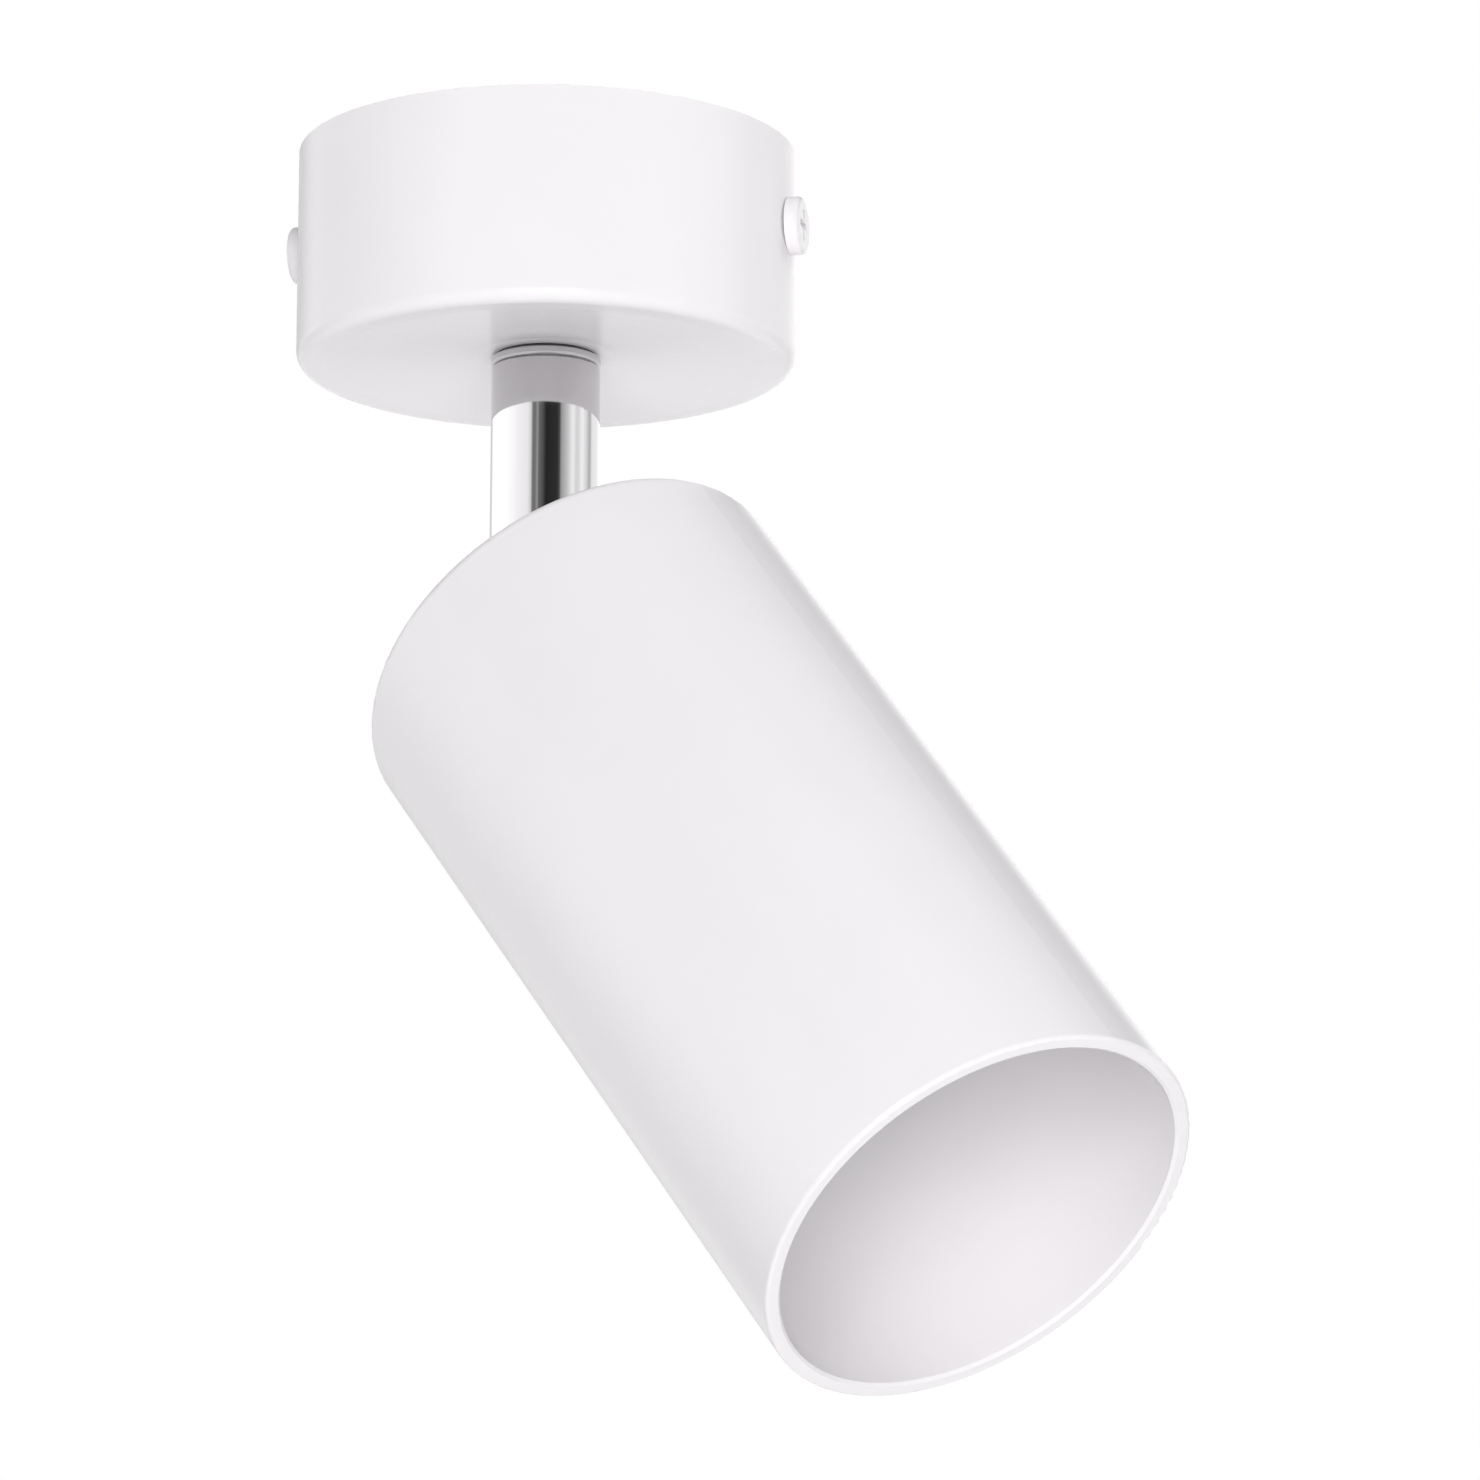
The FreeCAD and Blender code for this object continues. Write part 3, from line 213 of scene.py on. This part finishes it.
def brass(name):
    """Bare brass, unevenly tarnished."""
    s = Shader(name, (0.73, 0.55, 0.26), 0.3, 1.0)
    s.tint(s.noise(1.5, 5), (0.62, 0.44, 0.2), (0.8, 0.62, 0.32))
    s.vary_rough(s.noise(0.5, 4), 0.2, 0.42)
    s.bump(s.noise(0.25, 3), 0.005)
    return s.material


def plastic(name, color, rough, grain=0.25, depth=0.006, **sockets):
    """Moulded plastic with the fine erosion grain of its mould."""
    s = Shader(name, color, rough, **sockets)
    lighter = [min(1, c * 1.06 + 0.004) for c in color]
    s.tint(s.noise(5, 4), color, lighter)
    s.vary_rough(s.noise(0.6, 3), rough - 0.06, rough + 0.06)
    s.bump(s.noise(grain, 2), depth)
    return s.material


def ceramic(name):
    """Unglazed steatite: warm white and finely grained."""
    s = Shader(name, (0.8, 0.77, 0.7), 0.55)
    s.tint(s.noise(0.5, 6), (0.74, 0.71, 0.64), (0.84, 0.81, 0.75))
    s.vary_rough(s.noise(1.2, 3), 0.45, 0.65)
    s.bump(s.noise(0.3, 4), 0.012)
    return s.material


def braid(name):
    """Woven glass-fibre sleeve. The strands are in its mesh; the yarns within them are bump. Its colour is painted
    darker in the gaps between the strands, as painted shade.
    """
    s = Shader(name, (0.8, 0.78, 0.7), 0.75, sheen_weight=0.2, sheen_roughness=0.5)
    # Painted shade: the colour is halfway to the darker colour in the gaps between the strands, and full on their
    # tops.
    s.tint(s.attribute("weave"), (0.5, 0.48, 0.41), (0.84, 0.82, 0.75), (0.0, 1.0))
    s.bump(s.noise(0.25, 3), 0.03)
    return s.material


def striped(name, first, second):
    """Green insulation with the yellow stripe of an earth lead."""
    s = Shader(name, first, 0.4)
    s.tint(s.attribute("stripe"), first, second, (0.28, 0.34))
    s.vary_rough(s.noise(0.6, 3), 0.32, 0.44)
    s.bump(s.noise(0.3, 2), 0.004)
    return s.material


def glass(name):
    """The lamp's moulded lens plate, pale because the reflector shows through it."""
    s = Shader(name, (0.86, 0.88, 0.88), 0.08, transmission_weight=0.12, ior=1.49,
               coat_weight=0.6, coat_roughness=0.03)
    s.vary_rough(s.noise(2, 3), 0.05, 0.12)
    s.tint(s.noise(6, 2), (0.88, 0.9, 0.9), (0.94, 0.95, 0.94))
    return s.material


WHITE = (0.88, 0.857, 0.88)
PAINT_ROUGHNESS = 0.22


def make_materials():
    """One material for each slot of the record."""
    return {
        "canopy_paint": paint("canopy_paint", WHITE, PAINT_ROUGHNESS),
        "head_paint": paint("head_paint", WHITE, PAINT_ROUGHNESS),
        "screw_paint": paint("screw_paint", WHITE, PAINT_ROUGHNESS),
        "chrome": chrome("chrome"),
        "zinc_steel": zinc("zinc_steel"),
        "brass": brass("brass"),
        "block_plastic": plastic("block_plastic", (0.78, 0.77, 0.72), 0.42,
                                 subsurface_weight=0.15, subsurface_scale=0.001),
        "black_nylon": plastic("black_nylon", (0.02, 0.02, 0.021), 0.45),
        "ceramic": ceramic("ceramic"),
        "lamp_shell": plastic("lamp_shell", (0.82, 0.82, 0.81), 0.28, grain=0.4, depth=0.002),
        "lamp_glass": glass("lamp_glass"),
        "live_insulation": plastic("live_insulation", (0.16, 0.06, 0.025), 0.38),
        "neutral_insulation": plastic("neutral_insulation", (0.02, 0.09, 0.42), 0.38),
        "earth_insulation": striped("earth_insulation", (0.07, 0.3, 0.05), (0.75, 0.68, 0.04)),
        "sleeve_fabric": braid("sleeve_fabric"),
    }


MATERIALS = make_materials()


def dress_nodes():
    """Every carried-over piece gets the material of its slot."""
    for row in frame["record"]["subparts"]:
        node = frame["nodes"][row["node"]]
        node.data.materials.clear()
        node.data.materials.append(MATERIALS[row["material_slot"]])


def dress(piece, slot):
    """A piece made here gets the material of a slot."""
    piece.data.materials.append(MATERIALS[slot])


# ------------------------------------------------------------------ where the bodies are at rest
# The tilt joint gives the pivot, in millimetres, and the way the fork faces. The head lies level at the upper
# end of the range, so its lean at rest, from straight down, is what that end leaves of 90 degrees.
TILT = next(joint for joint in frame["joints"] if joint["name"] == "tilt")
PIVOT = Vector(TILT["pos_m"]) / MM
FORK_TURN = math.atan2(TILT["axis"][0], -TILT["axis"][1])
LEAN = math.radians(90 - TILT["range_deg"][1])
HEAD_PLACE = Matrix.Translation(PIVOT) @ Matrix.Rotation(FORK_TURN, 4, "Z") @ Matrix.Rotation(-LEAN, 4, "Y")
PLACES = {"canopy": Matrix.Identity(4), "head": HEAD_PLACE}


# ------------------------------------------------------------------ meshes
def ring_faces(rings, sides, first=0):
    """Four-cornered faces between rings of vertices that follow one another from the index first."""
    faces = []
    for i in range(rings - 1):
        for k in range(sides):
            a, b = first + i * sides + k, first + i * sides + (k + 1) % sides
            faces.append((a, b, b + sides, a + sides))
    return faces


def add_mesh(name, verts, faces):
    """A new object in the scene, shaded smooth except for its many-sided ends."""
    mesh = bpy.data.meshes.new(name)
    mesh.from_pydata(verts, [], faces)
    for face in mesh.polygons:
        face.use_smooth = len(face.vertices) <= 4
    piece = bpy.data.objects.new(name, mesh)
    bpy.context.scene.collection.objects.link(piece)
    return piece


def smooth_line(place, route, step):
    """Evenly spaced points, in metres, on a smooth curve along a route. Route and step are in millimetres."""
    curve = bpy.data.curves.new("route", "CURVE")
    curve.dimensions = "3D"
    curve.resolution_u = 48
    spline = curve.splines.new("NURBS")
    spline.points.add(len(route) - 1)
    for point, spot in zip(spline.points, route):
        point.co = (*(place @ Vector(spot) * MM), 1)
    spline.order_u = 3
    spline.use_endpoint_u = True
    carrier = bpy.data.objects.new("route", curve)
    line = bpy.data.meshes.new_from_object(carrier)
    dense = [v.co.copy() for v in line.vertices]
    bpy.data.objects.remove(carrier)
    bpy.data.curves.remove(curve)
    bpy.data.meshes.remove(line)

    gaps = [(b - a).length for a, b in zip(dense, dense[1:])]
    count = round(sum(gaps) / (step * MM))
    spacing = sum(gaps) / count
    points, travelled, i = [dense[0]], 0.0, 0
    for k in range(1, count):
        while travelled + gaps[i] < k * spacing:
            travelled += gaps[i]
            i += 1
        points.append(dense[i].lerp(dense[i + 1], (k * spacing - travelled) / gaps[i]))
    points.append(dense[-1])
    return points


def steady_frames(points):
    """Two directions square to the line at each point, without twist from one to the next."""
    # Any first direction will do that no line here runs along.
    across = Vector((0.31, 0.87, 0.12))
    frames = []
    for i in range(len(points)):
        ahead = (points[min(i + 1, len(points) - 1)] - points[max(i - 1, 0)]).normalized()
        across = (across - across.dot(ahead) * ahead).normalized()
        frames.append((across.copy(), ahead.cross(across)))
    return frames


def swept(name, points, sides, radius, mark, mark_name):
    """A closed tube along points. radius and mark take the distance along it and the angle round it."""
    verts, marks, along = [], [], 0.0
    for i, (spot, (u, v)) in enumerate(zip(points, steady_frames(points))):
        along += (spot - points[i - 1]).length if i else 0.0
        for k in range(sides):
            angle = 2 * math.pi * k / sides
            verts.append(spot + (math.cos(angle) * u + math.sin(angle) * v) * radius(along, angle))
            marks.append(mark(along, angle))
    faces = ring_faces(len(points), sides)
    faces.append(tuple(range(sides))[::-1])
    faces.append(tuple(range(len(verts) - sides, len(verts))))
    piece = add_mesh(name, verts, faces)
    piece.data.attributes.new(mark_name, "FLOAT", "POINT").data.foreach_set("value", marks)
    return piece


# ------------------------------------------------------------------ leads
# Radius and step are in millimetres. The stripe goes once round the lead in one pitch.
LEAD_RADIUS = 0.65
LEAD_STEP = 0.3
LEAD_SIDES = 24
STRIPE_PITCH = 28 * MM

# Ends of the sleeve, in millimetres: in the stem below the ceiling, and in the head below the pivot.
SLEEVE_TOP = -16.55
SLEEVE_FOOT = -13.6
# All leads but the bond begin this far inside the sleeve.
BEHIND_END = 0.5

# Where each lead runs: its slot, its body, and its points in millimetres in that body's own frame.
LEADS = {
    "canopy_lead_live": ("live_insulation", "canopy", [
        (-0.736, -0.425, SLEEVE_TOP - BEHIND_END), (-0.736, -0.425, -12.5), (-4.96, 1.5, -9),
        (-8, 5.7, -8.5), (-8, 12.7, -8.5)]),
    "canopy_lead_neutral": ("neutral_insulation", "canopy", [
        (0.736, -0.425, SLEEVE_TOP - BEHIND_END), (0.736, -0.425, -12.5), (4.96, 1.5, -9),
        (8, 5.7, -8.5), (8, 12.7, -8.5)]),
    "canopy_lead_earth": ("earth_insulation", "canopy", [
        (0, 0.85, SLEEVE_TOP - BEHIND_END), (0, 0.85, -12.5), (-0.7, 4.4, -8.5), (-0.7, 12.7, -8.5)]),
    "canopy_lead_bond": ("earth_insulation", "canopy", [
        (9.6, -20.6, -25.71), (14.6, -20.6, -25.71), (19, -16.6, -21.71), (18, -10.6, -15.71),
        (11.5, -4.5, -12.5), (5.5, 0.5, -6.7), (0.7, 5.2, -8.5), (0.7, 12.7, -8.5)]),
    "head_lead_live": ("live_insulation", "head", [
        (-0.736, -0.425, SLEEVE_FOOT + BEHIND_END), (-0.736, -0.425, -18), (-3.2, 0, -21.6),
        (-3.2, 0, -24.7)]),
    "head_lead_neutral": ("neutral_insulation", "head", [
        (0.736, -0.425, SLEEVE_FOOT + BEHIND_END), (0.736, -0.425, -18), (3.2, 0, -21.6),
        (3.2, 0, -24.7)]),
    "head_lead_earth": ("earth_insulation", "head", [
        (0, 0.85, SLEEVE_FOOT + BEHIND_END), (0, 0.85, -18), (0, 3.35, -20.55), (0, 17, -20.55),
        (0, 19, -17.13), (0, 17, -13.7), (0, 12.1, -13.7)]),
}


def stripe(along, angle):
    """Highest in the middle of the stripe, which winds slowly round the lead."""
    return math.cos(angle - 2 * math.pi * along / STRIPE_PITCH)


def make_leads():
    """Single insulated wires: smooth round tubes that take the place of the CAD's runs and arcs."""
    def radius(along, angle):
        return LEAD_RADIUS * MM

    for node, (slot, body, route) in LEADS.items():
        points = smooth_line(PLACES[body], route, LEAD_STEP)
        piece = swept(node + "_wire", points, LEAD_SIDES, radius, stripe, "stripe")
        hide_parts(node)
        dress(piece, slot)
        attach(piece, body)


# ------------------------------------------------------------------ sleeve
# In millimetres. It is straight in the stem and in the head, and bends between these two distances above and
# below the pivot.
BEND_ABOVE = 7.8
BEND_BELOW = 7.5
SLEEVE_STEP = 0.16
SLEEVE_SIDES = 72
# The radius in the gaps between the strands.
SLEEVE_BASE = 1.5
# A strand is this much rounded across, and goes this much up and down as it passes over and under the others.
SLEEVE_WAVE = 0.12
SLEEVE_LIFT = 0.08
# At either end the braid runs out, over RIM_DEPTH, into a smooth rim of this radius.
SLEEVE_RIM = 1.64
RIM_DEPTH = 0.9
YARNS = 8
YARN_PITCH = 10.7 * MM


def weave(along, angle):
    """Height of a plain diamond braid, from 0 in its gaps to 1: two families of strands, over and under."""
    lean = YARNS * along / YARN_PITCH
    a = YARNS * angle / (2 * math.pi) + lean
    b = YARNS * angle / (2 * math.pi) - lean
    i, j = math.floor(a), math.floor(b)
    wave, lift = SLEEVE_WAVE, SLEEVE_LIFT
    first = wave * math.sin(math.pi * (a - i)) + lift * math.cos(math.pi * (b - 0.5 + i))
    second = wave * math.sin(math.pi * (b - j)) - lift * math.cos(math.pi * (a - 0.5 + j))
    return max(first, second) / (wave + lift)


def make_sleeve():
    """One braided sleeve from the canopy through the stem and the hinge into the head."""
    low = PIVOT.z + BEND_ABOVE
    head = [HEAD_PLACE @ Vector((0, 0, z)) for z in (-BEND_BELOW, SLEEVE_FOOT)]
    route = [(0, 0, SLEEVE_TOP), (0, 0, low), PIVOT, *head]
    points = smooth_line(Matrix.Identity(4), route, SLEEVE_STEP)
    length = sum((b - a).length for a, b in zip(points, points[1:]))

    def radius(along, angle):
        inwards = min(along, length - along) / (RIM_DEPTH * MM)
        full = SLEEVE_BASE + (SLEEVE_WAVE + SLEEVE_LIFT) * weave(along, angle)
        return MM * (full + (SLEEVE_RIM - full) * max(0.0, 1 - inwards))

    # The sleeve's colour mask: lowest in the gaps between the strands, where the colour carries painted shade.
    def mark(along, angle):
        return 0.5 + weave(along, angle)

    piece = swept("braided_sleeve", points, SLEEVE_SIDES, radius, mark, "weave")
    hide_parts("stem_sleeve", "hinge_sleeve", "head_sleeve")
    dress(piece, "sleeve_fabric")
    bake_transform(piece)


# ------------------------------------------------------------------ lamp front
# In millimetres in the head's own frame, whose -Z points out of the mouth.
LENS_RADIUS = 23.2
LENS_BACK = -76.15
LENS_FRONT = -77.4
LENS_EDGE = 1.3
LENS_ROUNDING = 0.15
LENS_RINGS = 88
LENS_SIDES = 288
# The domes: their spacing and height, how far each reaches as a share of the spacing, and the width of the
# ring in which they fade out.
LENSLET_PITCH = 3.6
LENSLET_HEIGHT = 0.3
LENSLET_REACH = 0.58
LENSLET_FADE = 0.8


def lenslet(x, y):
    """Height of a hexagonal field of small domes, from 0 where three of them meet to 1 in their middles."""
    row = LENSLET_PITCH * math.sqrt(3) / 2
    nearest = LENSLET_PITCH
    j = round(y / row)
    for dj in (-1, 0, 1):
        shift = LENSLET_PITCH / 2 if (j + dj) % 2 else 0.0
        i = round((x - shift) / LENSLET_PITCH)
        nearest = min(nearest, math.hypot(x - shift - i * LENSLET_PITCH, y - (j + dj) * row))
    return max(0.0, 1 - (nearest / (LENSLET_REACH * LENSLET_PITCH)) ** 2)


def make_lens():
    """The front of the lamp: a plate with a plain edge around a field of domes."""
    field = LENS_RADIUS - LENS_EDGE
    profile = [(field * i / LENS_RINGS, LENS_FRONT) for i in range(1, LENS_RINGS + 1)]
    profile += [(LENS_RADIUS - LENS_ROUNDING, LENS_FRONT), (LENS_RADIUS, LENS_FRONT + LENS_ROUNDING),
                (LENS_RADIUS, LENS_BACK)]
    verts = [HEAD_PLACE @ Vector((0, 0, LENS_FRONT - LENSLET_HEIGHT)) * MM]
    for radius, height in profile:
        for k in range(LENS_SIDES):
            angle = 2 * math.pi * k / LENS_SIDES
            x, y = radius * math.cos(angle), radius * math.sin(angle)
            fade = min(1.0, max(0.0, (field - radius) / LENSLET_FADE))
            spot = Vector((x, y, height - LENSLET_HEIGHT * lenslet(x, y) * fade))
            verts.append(HEAD_PLACE @ spot * MM)
    faces = [(0, 1 + (k + 1) % LENS_SIDES, 1 + k) for k in range(LENS_SIDES)]
    faces += ring_faces(len(profile), LENS_SIDES, first=1)
    faces.append(tuple(range(len(verts) - LENS_SIDES, len(verts))))
    piece = add_mesh("lens_plate", verts, faces)
    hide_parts("lamp_lens")
    dress(piece, "lamp_glass")
    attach(piece, "head")


# ------------------------------------------------------------------ light and background
# Heights are those of a direction, from -1 straight down to 1 straight up.
# The plain light on everything grows from below to above.
AMBIENT_HEIGHTS = (-0.3, 0.9)
AMBIENT = (0.05, 0.44)
# What the pieces mirror: one level below, walls at about the lamp's height, and one level above.
TABLE_HEIGHTS = (-0.06, 0.12)
TABLE = 0.85
UPPER_HEIGHTS = (0.36, 0.55)
UPPER = 0.5
# This multiplies all three.
MIRRORED = 1.5
# Brightness of the walls by bearing, in degrees from the camera's side towards the right of the picture.
STUDIO = [
    (-180, 0.45), (-154, 0.55), (-143, 1.0), (-134, 1.5), (-100, 1.45), (-84, 1.1), (-68, 1.05), (-60, 0.98),
    (-36, 0.9), (-29, 0.7), (-25, 0.18), (-19, 0.18), (-16, 0.3), (-12, 0.15), (-3, 0.08), (3, 0.02),
    (27, 0.03), (32, 0.08), (36, 0.35), (50, 0.6), (60, 0.9), (65, 0.9), (70, 0.73), (77, 0.75),
    (84, 0.95), (92, 0.95), (104, 0.6), (111, 0.45), (119, 0.85), (180, 0.95),
]
# A dark panel up behind the lamp, to the right: its direction, the cosines where its edge begins and ends,
# and how much of the light it leaves.
FLAG = (0.28, 0.52, 0.81)
FLAG_EDGE = (0.76, 0.89)
FLAG_LEVEL = 0.4


def fill_ramp(ramp):
    """Puts the walls on a ramp that runs once round the lamp, from -Y over -X, +Y and +X."""
    marks = []
    for bearing, level in STUDIO:
        turn = (180 - CAMERA_TURN - bearing) % 360
        marks.append(((turn / 360 + 0.5) % 1, level))
    marks.sort()
    elements = ramp.elements
    while len(elements) > 1:
        elements.remove(elements[-1])
    elements[0].position = marks[0][0]
    elements[0].color = grey(marks[0][1])
    for position, level in marks[1:]:
        elements.new(position).color = grey(level)


def make_world():
    """White to the camera and through glass. Reflections see a studio, and all else gets a plain light."""
    world = bpy.data.worlds.new("studio")
    bpy.context.scene.world = world
    world.use_nodes = True
    g = Graph(world.node_tree)
    g.tree.nodes.clear()

    direction = g.add("TexCoord", {}).outputs["Generated"]
    parts = g.add("SeparateXYZ", {0: direction}).outputs

    def smooth(value, given, wanted):
        return g.mapped(value, given, wanted, interpolation_type="SMOOTHSTEP")

    def by_height(heights, levels):
        return smooth(parts["Z"], heights, levels)

    round_turn = g.maths("MULTIPLY_ADD", g.maths("ARCTAN2", parts["X"], parts["Y"]), 1 / (2 * math.pi), 0.5)
    ramp = g.add("ValToRGB", {0: round_turn})
    fill_ramp(ramp.color_ramp)
    walls = g.mixed_color(by_height(TABLE_HEIGHTS, (0.0, 1.0)), grey(TABLE), ramp.outputs["Color"])
    mirrored = g.mixed_color(by_height(UPPER_HEIGHTS, (0.0, 1.0)), walls, grey(UPPER))
    inputs = {0: direction, 1: Vector(FLAG).normalized()}
    near_flag = g.add("VectorMath", inputs, operation="DOT_PRODUCT").outputs["Value"]
    strength = smooth(near_flag, FLAG_EDGE, (MIRRORED, MIRRORED * FLAG_LEVEL))

    studio = g.add("Background", {"Color": mirrored, "Strength": strength}).outputs[0]
    ambient = by_height(AMBIENT_HEIGHTS, AMBIENT)
    plain = g.add("Background", {"Color": grey(1), "Strength": ambient}).outputs[0]
    white = g.add("Background", {"Color": grey(1)}).outputs[0]
    path = g.add("LightPath", {}).outputs
    lighting = g.mixed_shader(path["Is Glossy Ray"], plain, studio)
    clear = g.maths("MAXIMUM", path["Is Camera Ray"], path["Is Transmission Ray"])
    g.add("OutputWorld", {"Surface": g.mixed_shader(clear, lighting, white)})


# A softbox low in front, which also reaches into the mouth, and weaker lamps round it.
# Each has its place, the width of its square, both in metres, and its power in watts.
LAMPS = {
    "key": ((0.30, -1.3, -0.35), 0.9, 14.1),
    "right": ((0.9, -1.0, -0.35), 0.9, 2.0),
    "left": ((-1.3, -0.2, -0.1), 0.9, 1.8),
    "back": ((-0.4, 1.3, 0.2), 0.9, 6.0),
    "top_right": ((0.8, 0.4, 1.1), 0.9, 7.5),
    "below_left": ((-0.6, 0.78, -0.95), 1.3, 4.5),
    "below_right": ((0.6, 0.78, -0.95), 1.3, 4.5),
}
LIT_POINT = (0, 0, -0.08)


def make_lights():
    """All lamps face the same point, and none shows in a reflection."""
    for name, (spot, width, power) in LAMPS.items():
        data = bpy.data.lights.new(name, "AREA")
        data.shape = "RECTANGLE"
        data.size = data.size_y = width
        data.energy = power
        light = bpy.data.objects.new(name, data)
        light.location = spot
        light.rotation_mode = "QUATERNION"
        light.rotation_quaternion = (Vector(LIT_POINT) - Vector(spot)).to_track_quat("-Z", "Y")
        light.visible_glossy = False
        bpy.context.scene.collection.objects.link(light)


FLOOR_HALF = 14.0
FLOOR_HEIGHT = -1.75
FLOOR_GLOW = 0.92
FLOOR_GLOW_SHARE = 0.75


def make_floor():
    """A pale studio floor, far below the lamp. Part of it glows, and the rest keeps its shadows."""
    ways = ((-1, -1), (1, -1), (1, 1), (-1, 1))
    corners = [(x * FLOOR_HALF, y * FLOOR_HALF, FLOOR_HEIGHT) for x, y in ways]
    floor = add_mesh("floor", corners, [(0, 1, 2, 3)])
    s = Shader("floor", (0.9, 0.9, 0.9), 0.8)
    s.tint(s.noise(400, 3), (0.88, 0.88, 0.88), (0.92, 0.92, 0.92))
    floor.data.materials.append(s.material)
    glow = s.add("Emission", {"Strength": FLOOR_GLOW}).outputs[0]
    path = s.add("LightPath", {}).outputs
    direct = s.maths("MAXIMUM", path["Is Camera Ray"], path["Is Glossy Ray"])
    share = s.maths("MULTIPLY", direct, FLOOR_GLOW_SHARE)
    mixed = s.mixed_shader(share, s.bsdf.outputs[0], glow)
    s.feed(s.tree.nodes["Material Output"], "Surface", mixed)
    floor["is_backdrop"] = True


make_camera()
dress_nodes()
make_leads()
make_sleeve()
make_lens()
make_world()
make_lights()
make_floor()

scene = bpy.context.scene
scene.view_settings.view_transform = "Standard"

boxes = {"cad": cad_box, "visual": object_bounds()}
{name: [list(corner) for corner in box] for name, box in boxes.items()}
